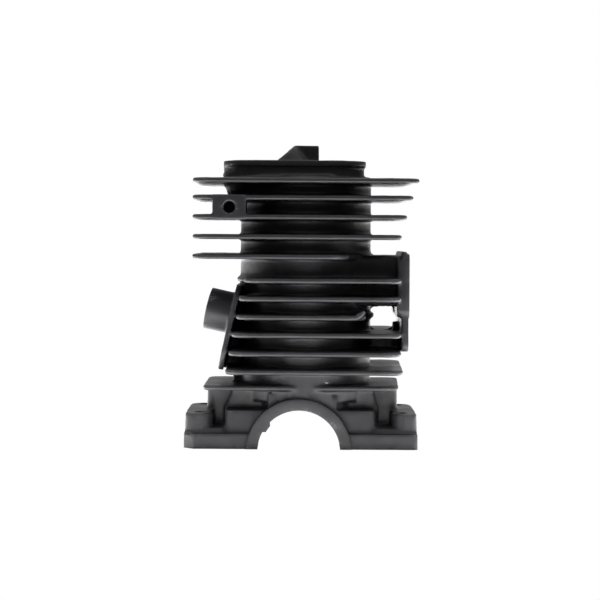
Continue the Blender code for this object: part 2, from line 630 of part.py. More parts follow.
def circlips():
    """Each clip is a sprung wire, open at the foot, whose outer edge sits in its groove."""
    middle = PIN_RADIUS + PIN_CLEARANCE + CLIP_BITE - CLIP_WIRE_RADIUS
    steps = 20
    for name, side in (("front_circlip", -1), ("rear_circlip", 1)):
        curve = bpy.data.curves.new(name, "CURVE")
        curve.dimensions = "3D"
        curve.bevel_depth = CLIP_WIRE_RADIUS
        curve.bevel_resolution = 1
        curve.use_fill_caps = True
        line = curve.splines.new("POLY")
        line.points.add(steps)
        for i, point in enumerate(line.points):
            angle = -math.pi / 2 + CLIP_OPENING / 2 + (math.tau - CLIP_OPENING) * i / steps
            point.co = (middle * math.cos(angle), 0, middle * math.sin(angle), 1)
        new_object(name, curve, parts, steel, (BORE_X, side * CLIP_Y, PIN_Z))


def small_end_bearing():
    """A slotted cage with one needle in each slot, all turning about the gudgeon pin."""
    half = CAGE_LENGTH / 2
    inner = NEEDLE_ORBIT - CAGE_WALL / 2
    cage = turned("small_end_cage", [(inner + CAGE_WALL, half), (inner + CAGE_WALL, -half),
                                     (inner, -half), (inner, half)],
                  parts, bronze, (BORE_X, 0, PIN_Z), 48, "Y")
    needle_mesh = None
    for i in range(NEEDLE_COUNT):
        angle = math.tau * i / NEEDLE_COUNT
        spot = Vector((BORE_X + NEEDLE_ORBIT * math.cos(angle), 0, PIN_Z + NEEDLE_ORBIT * math.sin(angle)))
        width = NEEDLE_RADIUS + NEEDLE_PLAY
        length = NEEDLE_LENGTH / 2 + 2 * NEEDLE_PLAY
        slot = block(f"cage_slot_{i + 1:02d}", (-CAGE_WALL, -length, -width), (CAGE_WALL, length, width),
                     guides)
        slot.location = spot
        slot.rotation_euler = (0, -angle, 0)
        combine(cage, "DIFFERENCE", slot)
        name = f"needle_roller_{i + 1:02d}"
        if needle_mesh is None:
            first = rod(name, (0, -NEEDLE_LENGTH / 2, 0), (0, NEEDLE_LENGTH / 2, 0), NEEDLE_RADIUS,
                        parts, 16, steel)
            first.location = spot
            needle_mesh = first.data
        else:
            new_object(name, needle_mesh, parts, None, spot)


clear_scene()
parts = new_collection("two_stroke_cylinder")
solids = new_collection("casting_solids")
cutters = new_collection("casting_cutters")
guides = new_collection("other_cutters")
for helpers in (solids, cutters, guides):
    helpers.hide_render = True
crank_axis = bpy.data.objects.new("crank_axis", None)
parts.objects.link(crank_axis)
crank_axis.location = (CRANK_X, CRANK_Y, 0)

cast_paint = new_material("black_cast_paint", (0.018, 0.018, 0.020), 0.55, 0.0)
iron = new_material("honed_iron", (0.36, 0.35, 0.34), 0.35, 1.0)
bright = new_material("piston_alloy", (0.62, 0.62, 0.63), 0.38, 1.0)
steel = new_material("ground_steel", (0.55, 0.55, 0.56), 0.25, 1.0)
bronze = new_material("cage_metal", (0.45, 0.36, 0.22), 0.40, 1.0)

casting()
sleeve()
piston()
rings()
gudgeon_pin()
circlips()
small_end_bearing()
for shown in parts.objects:
    if shown.type == "MESH":
        shade(shown)
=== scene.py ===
"""An air-cooled two-stroke cylinder with its piston set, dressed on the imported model.

The casting is built from plain solids, joined and cored like the real pattern, then rounded all over as
die-cast metal is, and last machined where the real one is: parting face, crank seats, exhaust face,
plug seat and holes. The pieces inside are turned, drilled and chamfered.

The casting's sizes count from the crank axis in the parting plane: X towards the exhaust, Y along the
crank axis, Z up. The bore's axis stands BORE_OFFSET from it.
"""
import json
import math

import bmesh
import bpy
from bpy.props import FloatProperty, FloatVectorProperty, IntProperty, PointerProperty
from mathutils import Matrix, Vector

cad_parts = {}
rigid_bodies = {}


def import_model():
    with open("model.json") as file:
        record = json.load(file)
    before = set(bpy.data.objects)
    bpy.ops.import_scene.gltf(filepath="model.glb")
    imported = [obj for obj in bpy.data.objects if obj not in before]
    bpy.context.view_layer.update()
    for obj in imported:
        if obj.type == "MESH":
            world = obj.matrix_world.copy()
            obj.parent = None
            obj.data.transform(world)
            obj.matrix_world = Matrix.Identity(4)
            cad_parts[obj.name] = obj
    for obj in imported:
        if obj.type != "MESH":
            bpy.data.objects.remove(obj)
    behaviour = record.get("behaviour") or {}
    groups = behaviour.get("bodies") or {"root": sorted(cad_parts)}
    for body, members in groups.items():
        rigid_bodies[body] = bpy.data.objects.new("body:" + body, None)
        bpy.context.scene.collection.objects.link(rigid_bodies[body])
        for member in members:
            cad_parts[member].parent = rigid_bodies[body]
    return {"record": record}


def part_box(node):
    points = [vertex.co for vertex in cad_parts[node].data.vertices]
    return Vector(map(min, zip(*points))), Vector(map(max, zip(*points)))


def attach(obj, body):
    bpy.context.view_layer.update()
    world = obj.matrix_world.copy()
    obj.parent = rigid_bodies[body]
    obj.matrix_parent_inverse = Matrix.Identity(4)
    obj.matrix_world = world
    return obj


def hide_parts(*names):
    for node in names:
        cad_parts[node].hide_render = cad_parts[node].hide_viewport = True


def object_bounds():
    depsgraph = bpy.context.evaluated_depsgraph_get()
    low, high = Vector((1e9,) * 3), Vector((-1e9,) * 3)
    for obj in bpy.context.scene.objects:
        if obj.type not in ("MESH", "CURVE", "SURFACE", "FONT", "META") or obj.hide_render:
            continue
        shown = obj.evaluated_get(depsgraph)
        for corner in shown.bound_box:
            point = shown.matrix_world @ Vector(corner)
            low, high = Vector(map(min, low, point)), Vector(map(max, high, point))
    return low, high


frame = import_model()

bl_info = {
    "name": "Two-Stroke Cylinder",
    "version": (1, 0, 0),
    "blender": (4, 5, 0),
    "location": "View3D > Sidebar > Cylinder",
    "description": "Builds an air-cooled two-stroke cylinder with its piston set on the packed model",
    "category": "Object",
}

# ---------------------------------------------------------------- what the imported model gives
CAD_LOW, CAD_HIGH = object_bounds()
RECORD = frame["record"]
FACES = {mount["name"]: Vector(mount["pos_m"]) for mount in RECORD["mounts"]}
PIN_CENTRE = Vector(next(joint["pos_m"] for joint in RECORD["behaviour"]["joints"]
                         if joint["name"] == "gudgeon_pin_turn"))
BORE_OFFSET = 0.0024
CRANK = Vector((PIN_CENTRE.x - BORE_OFFSET, PIN_CENTRE.y, CAD_LOW.z))
SLEEVE_LOW, SLEEVE_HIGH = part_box("cylinder_sleeve")
CROWN_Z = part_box("piston")[1].z
SKIRT_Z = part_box("piston")[0].z
EXHAUST_FACE_X = FACES["exhaust_face"].x - CRANK.x
LUG_FACE_Y = FACES["coil_lug_face"].y - CRANK.y
HEAD_TOP_Z = CAD_HIGH.z - CRANK.z

# ---------------------------------------------------------------- patterns that repeat
# Left reach, right reach and mid height of each fin, top one first
FINS = (
    (-0.0424, 0.0470, 0.1057),
    (-0.0424, 0.0446, 0.0989),
    (-0.0424, 0.0422, 0.0913),
    (-0.0424, 0.0401, 0.0835),
    (-0.0424, 0.0193, 0.0757),
    (-0.0220, 0.0401, 0.0663),
    (-0.0240, 0.0401, 0.0591),
    (-0.0250, 0.0260, 0.0519),
    (-0.0267, 0.0401, 0.0449),
    (-0.0279, 0.0401, 0.0376),
    (-0.0293, 0.0407, 0.0304),
)
FOOT_FIN = (-0.0380, 0.0392, 0.0238)
FIN_FLARE = 0.0020  # the two lowest fins reach this much further right at the back
BASE_SCREWS = ((-0.0386, -0.0195), (-0.0386, 0.0150), (0.0402, -0.0195), (0.0402, 0.0150))
FLANGE_SCREWS = ((-0.0165, 0.0668), (0.0165, 0.0668), (0.0, 0.0440))
RINGS = (("upper", 0.0030, math.radians(152)), ("lower", 0.0066, math.radians(208)))
NEEDLES = 12

COAT, BARE, CUT = range(3)  # the casting's finishes, in the order of its material slots
CAST_OVER = 0.0012  # metal left on the casting where a face is machined afterwards
REACH = 0.012  # how far a cutter runs past the metal
CRANK_AXIS_Z = -0.0010  # the crank axis lies this far below the parting face
ARCH_RADIUS = 0.0255  # the boss over each crank seat, of which only the top shows
ARCH_HALF_DEPTH = 0.0245
ARCH_LEFT, ARCH_SWEEP = math.radians(-28.6), math.radians(64.6)

SENSOR_WIDTH, FOCAL_LENGTH = 36.0, 106.2  # of the stage's camera, in millimetres
LENS_SHIFT = -0.1033
TABLE_LOW, TABLE_HIGH = (-0.9, -0.30), (0.9, 3.0)  # the front edge is near, the far edge is not
TABLE_GAP = 0.0004


# ---------------------------------------------------------------- sizes and colours that can be set
def length(label, default, description):
    return FloatProperty(name=label, default=default, description=description, unit="LENGTH",
                         precision=5, min=0)


def place(label, default, description):
    return FloatProperty(name=label, default=default, description=description, unit="LENGTH", precision=5)


def angle(label, degrees, description):
    return FloatProperty(name=label, default=math.radians(degrees), description=description,
                         subtype="ANGLE", unit="ROTATION")


def amount(label, default, description, top=1.0):
    return FloatProperty(name=label, default=default, description=description, min=0, max=top)


def colour(label, default, description):
    return FloatVectorProperty(name=label, default=default, description=description, size=3,
                               subtype="COLOR", min=0, max=1)


class CastingSizes(bpy.types.PropertyGroup):
    """Sizes of the casting: barrel, head, fins and crankcase half."""
    barrel_radius: length("Barrel radius", 0.0265, "Outside of the barrel between two fins")
    barrel_top: length("Barrel top", 0.105, "Where the round barrel ends under the head")
    bulge_depth: length("Transfer depth", 0.0278, "Front of the transfer bulge, from the crank axis")
    bulge_top: length("Transfer top", 0.0745, "Top of the transfer bulge")
    bulge_radius: length("Transfer radius", 0.0185, "Radius of the rounded transfer bulge")
    head_left: place("Head left", -0.0308, "Left wall of the head")
    head_right: place("Head right", 0.0257, "Right wall of the head")
    head_half_depth: length("Head half depth", 0.0240, "Half the head's depth")
    head_low: length("Head foot", 0.0995, "Foot of the head's straight walls")
    head_high: length("Head deck", 0.1119, "Underside of the top plate")
    head_corner: length("Head corner", 0.014, "Corner radius of the head")
    plate_top: length("Plate top", 0.1139, "Top of the top plate")
    plate_margin: length("Plate margin", 0.0008, "How far the top plate stands out")
    fin_half_depth: length("Fin half depth", 0.0341, "Half the fins' depth")
    fin_thickness: length("Fin thickness", 0.0020, "Thickness of each fin")
    root_fillet: length("Root fillet", 0.0014, "Fillet where a fin meets the barrel")
    fin_corner: length("Fin corner", 0.0065, "Corner radius of the fins")
    base_left: place("Base left", -0.0455, "Left end of the base flange")
    base_right: place("Base right", 0.0469, "Right end of the base flange")
    base_half_depth: length("Base half depth", 0.0284, "Half the base flange's depth")
    base_thickness: length("Base thickness", 0.0060, "Thickness of the base flange")
    lug_top: length("Lug top", 0.0137, "Top of the screw lugs")
    seat_radius: length("Seat radius", 0.0163, "Radius of the half-round crank seats")
    seat_wall: length("Seat wall", 0.0045, "Wall of the seat rings")
    seat_half_depth: length("Seat half depth", 0.0292, "From the crank's middle to the ring's face")
    web_radius: length("Web space radius", 0.0275, "Radius of the space for the crank webs")
    rounding: length("Cast rounding", 0.00042, "Grid that the as-cast rounding is worked out on")
    case_blend: IntProperty(name="Case blend", default=14, min=0,
                            description="Rounds of smoothing that blend the crankcase walls")
    waviness: length("Cast waviness", 0.00022, "Depth of the slow waves in the as-cast skin")


class PortSizes(bpy.types.PropertyGroup):
    """Sizes of the intake stub, the exhaust flange and the plug boss."""
    intake_tilt: angle("Intake tilt", 12.3, "The stub's mouth is tilted up by this much")
    intake_mouth_x: place("Stub mouth X", -0.0372, "Middle of the stub's mouth")
    intake_mouth_z: length("Stub mouth Z", 0.0543, "Height of the middle of the stub's mouth")
    stub_radius: length("Stub radius", 0.0085, "Outside of the intake stub")
    stub_bore: length("Stub bore", 0.0066, "Inside of the intake stub")
    shield_thickness: length("Shield thickness", 0.0021, "Thickness of the plate behind the stub")
    shield_length: length("Shield length", 0.0346, "Height of the plate behind the stub")
    shield_half_depth: length("Shield half depth", 0.0220, "Half the plate's depth")
    flange_inner: length("Flange inner face", 0.0387, "Barrel side of the exhaust flange")
    flange_half_depth: length("Flange half depth", 0.0220, "Half the exhaust flange's depth")
    flange_step: length("Flange step", 0.0517, "Below this the flange is a thin plate")
    flange_low: length("Flange foot", 0.0379, "Foot of the exhaust flange")
    flange_high: length("Flange top", 0.0779, "Top of the exhaust flange")
    plug_tilt: angle("Plug tilt", 40.5, "Tilt of the spark plug's axis towards the intake")
    plug_thread: length("Plug thread radius", 0.0065, "Radius inside the plug thread's crests")
    plug_seat: length("Plug seat radius", 0.0098, "Radius of the machined plug seat")
    plug_boss: length("Plug boss radius", 0.0130, "Outside of the plug boss")


class FinishColours(bpy.types.PropertyGroup):
    """Colours and wear of the finishes, and the painted highlight along the coat's edges."""
    coat: colour("Black coat", (0.024, 0.024, 0.027), "Satin black coating on the casting")
    # Painted highlight: a paler coat along convex edges. It is partly worn coat, and mostly stands in for
    # light that the rounded fin fronts catch.
    rub_and_highlight: colour("Pale edge coat and painted highlight", (0.085, 0.085, 0.092), "Coat lightened along convex edges: partly worn coat, mostly a painted highlight")
    worn: colour("Worn edge", (0.30, 0.30, 0.31), "Metal that shows where the coating is worn through")
    bare: colour("Bare casting", (0.43, 0.43, 0.44), "Uncoated as-cast aluminium")
    cut: colour("Machined face", (0.64, 0.64, 0.65), "Milled and bored aluminium")
    iron: colour("Honed iron", (0.36, 0.35, 0.34), "The sleeve's honed iron")
    alloy: colour("Piston alloy", (0.60, 0.60, 0.61), "Turned piston alloy")
    steel: colour("Ground steel", (0.55, 0.55, 0.57), "Hardened and ground steel")
    cage: colour("Cage metal", (0.50, 0.33, 0.19), "Copper-washed bearing cage")
    wear: amount("Edge wear", 0.75, "How much of the coating's edges is worn through")
    coat_roughness: amount("Coat roughness", 0.38, "Roughness of the black coat")
    dust: amount("Dust", 0.22, "How much pale dust lies on level faces")


class StageSettings(bpy.types.PropertyGroup):
    """Camera distance, backdrop and lights."""
    distance: length("Camera distance", 0.690, "From the camera to the front of the fins")
    eye_height: length("Eye height", 0.0831, "Height of the level camera over the floor")
    roll: angle("Camera roll", -0.35, "The camera leans this much to one side")
    backdrop: colour("Backdrop", (1.0, 1.0, 1.0), "Colour of the plain floor and backdrop")
    in_shade: amount("Light under the part", 0.30, "Strength of the table under the part itself")
    from_behind: amount("Light from behind", 0.45, "Strength of the white backdrop")
    table_reach: length("Lit table reach", 0.24, "How far from its middle the table stays bright")
    from_afar: amount("Light from afar", 0.5, "Strength of the far part of the table")
    from_below: amount("Light from below", 5.0, "Strength of the white table's light", 10)
    level: amount("Light at eye level", 0.03, "Strength of the light from the dark room", 10)
    overhead: amount("Light from above", 0.9, "Strength of the soft light overhead", 10)


# ---------------------------------------------------------------- modelling helpers
def bench(name):
    """A fresh collection for the solids or cutters of one piece."""
    made = bpy.data.collections.new(name)
    bpy.context.scene.collection.children.link(made)
    return made


def clear_bench(*collections):
    for made in collections:
        for obj in list(made.objects):
            bpy.data.objects.remove(obj)
        bpy.data.collections.remove(made)


def to_object(name, bm, collection, finish=None):
    """The bmesh as an object. A finish number gives its faces that material slot, for cutters."""
    bmesh.ops.recalc_face_normals(bm, faces=bm.faces)
    mesh = bpy.data.meshes.new(name)
    bm.to_mesh(mesh)
    bm.free()
    obj = bpy.data.objects.new(name, mesh)
    collection.objects.link(obj)
    if finish is not None:
        for _ in range(finish + 1):
            mesh.materials.append(None)
        mesh.polygons.foreach_set("material_index", [finish] * len(mesh.polygons))
    return obj


def round_edges(bm, edges, offset, segments):
    if offset > 0:
        bmesh.ops.bevel(bm, geom=edges, offset=offset, segments=segments, profile=0.5, affect="EDGES",
                        clamp_overlap=True, material=-1)


def box_mesh(low, high):
    """A bmesh of a plain box, with the middle of the box."""
    low, high = Vector(low), Vector(high)
    bm = bmesh.new()
    bmesh.ops.create_cube(bm, size=1)
    bmesh.ops.scale(bm, vec=high - low, verts=bm.verts)
    bmesh.ops.translate(bm, vec=(low + high) / 2, verts=bm.verts)
    return bm, (low + high) / 2


def edges_along(bm, axis):
    return [e for e in bm.edges if abs((e.verts[0].co - e.verts[1].co)["XYZ".index(axis)]) > 1e-6]


def slab(name, low, high, collection, corner=0.0, along="Z", finish=None, turn=None):
    """A box between two corners, its four edges along one axis rounded, then turned into place."""
    bm, _ = box_mesh(low, high)
    round_edges(bm, edges_along(bm, along), corner, 10)
    if turn:
        bmesh.ops.transform(bm, matrix=turn, verts=bm.verts)
    return to_object(name, bm, collection, finish)


def fin_plate(name, low, high, collection, corner, flare=0.0):
    """A cooling fin: round corners, a rounded rim, and the back right edge moved out by the flare."""
    bm, middle = box_mesh(low, high)
    back_right = [v for v in bm.verts if v.co.x > middle.x and v.co.y > middle.y]
    bmesh.ops.translate(bm, vec=(flare, 0, 0), verts=back_right)
    round_edges(bm, edges_along(bm, "Z"), corner, 10)
    upright = set(edges_along(bm, "Z"))
    round_edges(bm, [e for e in bm.edges if e not in upright], (high[2] - low[2]) * 0.38, 3)
    return to_object(name, bm, collection)


def foot_block(low, high, corner, chamfer, collection):
    """The base flange: rounded on the right, with plain chamfers on the left corners."""
    bm, middle = box_mesh(low, high)
    upright = edges_along(bm, "Z")
    left = [e for e in upright if e.verts[0].co.x < middle.x]
    round_edges(bm, left, chamfer, 1)
    right = [e for e in edges_along(bm, "Z") if e.verts[0].co.x > middle.x]
    round_edges(bm, right, corner, 6)
    return to_object("base", bm, collection)


def tapered(name, low, high, spread, collection, corner=0.0):
    """A block whose foot is wider than its top by the spread on every side, narrower if it is negative."""
    low, high = Vector(low), Vector(high)
    bm, _ = box_mesh(low, high)
    foot = [v for v in bm.verts if v.co.z < (low.z + high.z) / 2]
    size = high - low
    centre = (low + high) / 2
    grow = Vector((1 + 2 * spread / size.x, 1 + 2 * spread / size.y, 1))
    bmesh.ops.scale(bm, vec=grow, space=Matrix.Translation(-centre), verts=foot)
    sides = [e for e in bm.edges if abs(e.verts[0].co.z - e.verts[1].co.z) > 1e-6]
    round_edges(bm, sides, corner, 6)
    return to_object(name, bm, collection)


def bar(name, start, end, radius, collection, segments=96, end_radius=None, finish=None):
    """A round bar between two points, tapered if it has a second radius."""
    start, end = Vector(start), Vector(end)
    turn = (end - start).to_track_quat("Z", "Y").to_matrix().to_4x4()
    bm = bmesh.new()
    bmesh.ops.create_cone(bm, cap_ends=True, segments=segments, radius1=radius,
                          radius2=radius if end_radius is None else end_radius,
                          depth=(end - start).length, matrix=Matrix.Translation((start + end) / 2) @ turn)
    return to_object(name, bm, collection, finish)


def outline_block(name, outline, low, high, collection, along="Y"):
    """An outline in X and Z carried along Y, or in X and Y carried along Z."""
    bm = bmesh.new()
    upright = along == "Z"
    face = bm.faces.new([bm.verts.new((x, h, low) if upright else (x, low, h)) for x, h in outline])
    grown = bmesh.ops.extrude_face_region(bm, geom=[face])["geom"]
    moved = [v for v in grown if isinstance(v, bmesh.types.BMVert)]
    bmesh.ops.translate(bm, vec=(0, 0, high - low) if upright else (0, high - low, 0), verts=moved)
    return to_object(name, bm, collection)


def turned(profile, segments=128, matrix=None):
    """A bmesh of a profile of radius and height, turned round Z. It is closed if it leaves the axis."""
    bm = bmesh.new()
    points = [bm.verts.new((r, 0, h)) for r, h in profile]
    edges = [bm.edges.new(pair) for pair in zip(points, points[1:])]
    if profile[0][0] > 0 or profile[-1][0] > 0:
        edges.append(bm.edges.new((points[-1], points[0])))
    bmesh.ops.spin(bm, geom=points + edges, cent=(0, 0, 0), axis=(0, 0, 1), dvec=(0, 0, 0),
                   angle=math.tau, steps=segments, use_merge=True, use_duplicate=False)
    bmesh.ops.remove_doubles(bm, verts=bm.verts, dist=1e-7)
    if matrix:
        bmesh.ops.transform(bm, matrix=matrix, verts=bm.verts)
    return bm


def chamfered(outer, inner, low, high, edge):
    """The profile of a ring or tube with small chamfers, down its outer side."""
    return [(outer - edge, high), (outer, high - edge), (outer, low + edge), (outer - edge, low),
            (inner + edge, low), (inner, low + edge), (inner, high - edge), (inner + edge, high)]


def boolean(obj, operation, other):
    step = obj.modifiers.new(operation.lower(), "BOOLEAN")
    step.operation = operation
    step.solver = "EXACT"
    if isinstance(other, bpy.types.Collection):
        step.operand_type = "COLLECTION"
        step.collection = other
    else:
        step.object = other


def settle(obj):
    """Turns the object's modifiers into plain mesh."""
    bpy.context.view_layer.update()
    shaped = obj.evaluated_get(bpy.context.evaluated_depsgraph_get())
    mesh = bpy.data.meshes.new_from_object(shaped)
    old = obj.data
    obj.modifiers.clear()
    obj.data = mesh
    bpy.data.meshes.remove(old)
    return mesh


def present(obj, name, body, nodes, materials, crease=32):
    """Puts a finished mesh in the scene as a piece that stands for its CAD nodes."""
    obj.name = name
    for collection in list(obj.users_collection):
        collection.objects.unlink(obj)
    bpy.context.scene.collection.objects.link(obj)
    kept = [polygon.material_index for polygon in obj.data.polygons]
    obj.data.materials.clear()
    for material in materials:
        obj.data.materials.append(material)
    if len(materials) > 1:
        obj.data.polygons.foreach_set("material_index", kept)
    obj.data.shade_smooth()
    obj.data.set_sharp_from_angle(angle=math.radians(crease))
    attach(obj, body)
    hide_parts(*nodes)
    return obj


# ---------------------------------------------------------------- the casting's pattern
def intake_axis(ports):
    return Vector((math.cos(ports.intake_tilt), 0, -math.sin(ports.intake_tilt)))


def plug_axis(ports):
    return Vector((-math.sin(ports.plug_tilt), 0, math.cos(ports.plug_tilt)))


def plug_seat():
    """Middle of the machined seat, on the plug's axis."""
    face = FACES["plug_seat_face"] - CRANK
    return Vector((face.x, 0, face.z))


def pattern_barrel(sizes, solids):
    bar("barrel", (BORE_OFFSET, 0, 0.018), (BORE_OFFSET, 0, sizes.barrel_top), sizes.barrel_radius,
        solids, 160)
    for side in (-1, 1):
        y = side * (sizes.bulge_depth - sizes.bulge_radius)
        bar("bulge", (BORE_OFFSET, y, 0.010), (BORE_OFFSET, y, sizes.bulge_top), sizes.bulge_radius,
            solids, 112)
    at_bore = Matrix.Translation((BORE_OFFSET, 0, 0))
    for _, _, z in FINS:
        to_object("root", turned(cove(sizes.barrel_radius, z, sizes), 112, at_bore), solids)


def cove(radius, z, sizes):
    """The profile of a fin's root: a concave fillet under it and one over it."""
    fillet, half = sizes.root_fillet, sizes.fin_thickness / 2 - 0.0002
    quarter = [math.radians(22.5 * step) for step in range(5)]
    under = [(radius + fillet * (1 - math.cos(a)), z - half - fillet * (1 - math.sin(a))) for a in quarter]
    over = [(r, 2 * z - h) for r, h in reversed(under)]
    inner = radius - 0.002
    return [(inner, z - half - fillet)] + under + over + [(inner, z + half + fillet)]


def pattern_head(sizes, ports, solids):
    depth, margin, corner = sizes.head_half_depth, sizes.plate_margin, sizes.head_corner
    left, right = sizes.head_left, sizes.head_right
    top_fin, half, fillet = FINS[0][2], sizes.fin_thickness / 2, sizes.root_fillet
    slab("head", (left, -depth, top_fin), (right, depth, sizes.head_high), solids, corner)
    tapered("neck", (left, -depth, FINS[1][2]), (right, depth, top_fin), -0.0019, solids, corner)
    tapered("head_fillet", (left, -depth, top_fin), (right, depth, top_fin + half + fillet), fillet * 1.3,
            solids, corner)
    tapered("neck_fillet", (left - fillet, -depth - fillet, top_fin - half - fillet),
            (right + fillet, depth + fillet, top_fin), -fillet * 1.3, solids, corner)
    outline_block("top_plate_bevel", ((right - 0.010, sizes.head_high - 0.0008),
                                      (right, sizes.head_high - 0.0014),
                                      (right + margin, sizes.head_high),
                                      (right - 0.010, sizes.head_high)), -0.008, 0.008, solids)
    slab("top_plate", (left - 0.0001, -depth - margin, sizes.head_high - 0.0002),
         (right + margin, depth + margin, sizes.plate_top), solids, corner)
    outline_block("flash", ((left + 0.0010, 0.1118), (left - 0.0001, 0.1116), (left + 0.0002, 0.1110),
                            (left - 0.0007, 0.1105), (left, 0.1100), (left - 0.0008, 0.1094),
                            (left - 0.0003, 0.1089), (left - 0.0013, 0.1084), (left + 0.0010, 0.1080)),
                  -0.0010, 0.0010, solids)
    axis, seat = plug_axis(ports), plug_seat()
    face = seat + axis * 0.0020
    bar("plug_boss", face - axis * 0.016, face, ports.plug_boss, solids)
    rib_top = HEAD_TOP_Z + 0.0002
    break_x = face.x + (rib_top - face.z) / math.tan(ports.plug_tilt) - 0.0004
    foot = sizes.head_low + 0.002
    outline_block("plug_rib", ((face.x, foot), (face.x, face.z + 0.0003), (break_x, rib_top),
                               (0.0075, rib_top), (0.0075, foot)), -0.0065, 0.0065, solids)


def pattern_fins(sizes, solids):
    half, depth = sizes.fin_thickness / 2, sizes.fin_half_depth
    for left, right, z in FINS[:-1]:
        fin_plate("fin", (left, -depth, z - half), (right, depth, z + half), solids, sizes.fin_corner)
    left, right, z = FINS[-1]
    fin_plate("lowest_fin", (left, -depth, z - half), (right, depth, z + half), solids, sizes.fin_corner,
              FIN_FLARE)
    left, right, z = FOOT_FIN
    fin_plate("foot_fin", (left, -0.0276, z - half), (right, 0.0216, z + half), solids, 0.0050, FIN_FLARE)
    slab("pulse_boss", (-0.0268, -0.0060, 0.0230), (-0.0180, 0.0060, 0.0300), solids, 0.001)
    z = FINS[7][2]
    outline_block("turned_up_end", ((0.0200, z - half), (0.0240, z), (0.0260, z + 0.0022),
                                    (0.0252, z + 0.0030), (0.0215, z + half)), -0.0335, -0.0200, solids)


def pattern_flash(solids):
    """Thin cast flash left in the corners of the gap behind the exhaust flange."""
    corners = (
        ((0.0400, 0.0568), (0.0285, 0.0568), (0.0285, 0.0534), (0.0291, 0.0541), (0.0295, 0.0548),
         (0.0304, 0.0552), (0.0316, 0.0551), (0.0328, 0.0555), (0.0341, 0.0553), (0.0352, 0.0556),
         (0.0362, 0.0553), (0.0376, 0.0556), (0.0382, 0.0545),
         (0.0381, 0.0532), (0.0388, 0.0526), (0.0400, 0.0520)),
        ((0.0285, 0.0449), (0.0285, 0.0478), (0.0291, 0.0470), (0.0298, 0.0468), (0.0304, 0.0461),
         (0.0335, 0.0449)),
        ((0.0400, 0.0449), (0.0400, 0.0492), (0.0389, 0.0484), (0.0386, 0.0475), (0.0372, 0.0468),
         (0.0358, 0.0462), (0.0340, 0.0449)),
    )
    for outline in corners:
        outline_block("flash", outline, -0.0008, 0.0008, solids)


def pattern_coil_lug(sizes, solids):
    top = FINS[1][2] + sizes.fin_thickness / 2 + 0.0001
    foot = FINS[2][2] - sizes.fin_thickness / 2 - 0.0001
    slab("coil_lug", (-0.0343, LUG_FACE_Y, foot), (-0.0211, LUG_FACE_Y + 0.015, top), solids, 0.0006, "Y")


def pattern_intake(ports, solids):
    axis = intake_axis(ports)
    mouth = Vector((ports.intake_mouth_x, 0, ports.intake_mouth_z))
    wall = mouth + axis * ((BORE_OFFSET - 0.019 - mouth.x) / axis.x)
    bar("stub", mouth - axis * CAST_OVER, wall, ports.stub_radius, solids)
    bar("stub_foot", mouth + axis * 0.0088, mouth + axis * 0.0104, ports.stub_radius, solids, 96,
        ports.stub_radius + 0.0008)
    across = Vector((math.sin(ports.intake_tilt), 0, math.cos(ports.intake_tilt)))
    middle = mouth + axis * 0.0096 - across * 0.0050
    turn = Matrix.Translation(middle) @ Matrix.Rotation(ports.intake_tilt, 4, "Y")
    half = ports.shield_length / 2
    slab("shield", (0, -ports.shield_half_depth, -half),
         (ports.shield_thickness, ports.shield_half_depth, half), solids, 0.008, "X", turn=turn)
    outline_block("shield_rib", ((-0.0305, 0.0300), (-0.0190, 0.0300), (-0.0190, 0.0560),
                                 (-0.0255, 0.0560)), -0.0022, 0.0022, solids)


def pattern_exhaust(ports, solids):
    depth, step, top = ports.flange_half_depth, ports.flange_step, ports.flange_high
    inner, over = ports.flange_inner, EXHAUST_FACE_X + CAST_OVER
    slab("duct", (BORE_OFFSET, -0.0185, 0.0560), (inner + 0.001, 0.0185, 0.0763), solids, 0.003, "X")
    slab("flange_back", (inner, -depth, step), (inner + 0.003, depth, top - 0.0018), solids, 0.003, "X")
    slab("flange_top", (inner + 0.0017, -depth, step), (EXHAUST_FACE_X - 0.0009, depth, top), solids,
         0.0035, "X")
    slab("flange_face", (inner + 0.0017, -depth, step), (over, depth, top - 0.0010), solids, 0.003, "X")
    slab("flange_plate", (0.0404, -depth + 0.0006, ports.flange_low), (EXHAUST_FACE_X - 0.0002,
         depth - 0.0006, step + 0.0055), solids, 0.003, "X")
    y, z = FLANGE_SCREWS[2]
    bar("flange_boss", (0.0380, y, z), (over, y, z), 0.0053, solids)
    slab("flange_rib", (0.0240, -0.0022, FINS[9][2]), (0.0395, 0.0022, FINS[8][2]), solids)
    for side in (-1, 1):
        outline_block("flange_fillet", [(x, side * y) for x, y in
                                        ((0.0325, 0.0160), (0.0325, 0.0184), (0.0352, 0.0188),
                                         (0.0375, 0.0199), (0.0392, 0.0216), (0.0392, 0.0160))],
                      0.0572, 0.0758, solids, "Z")


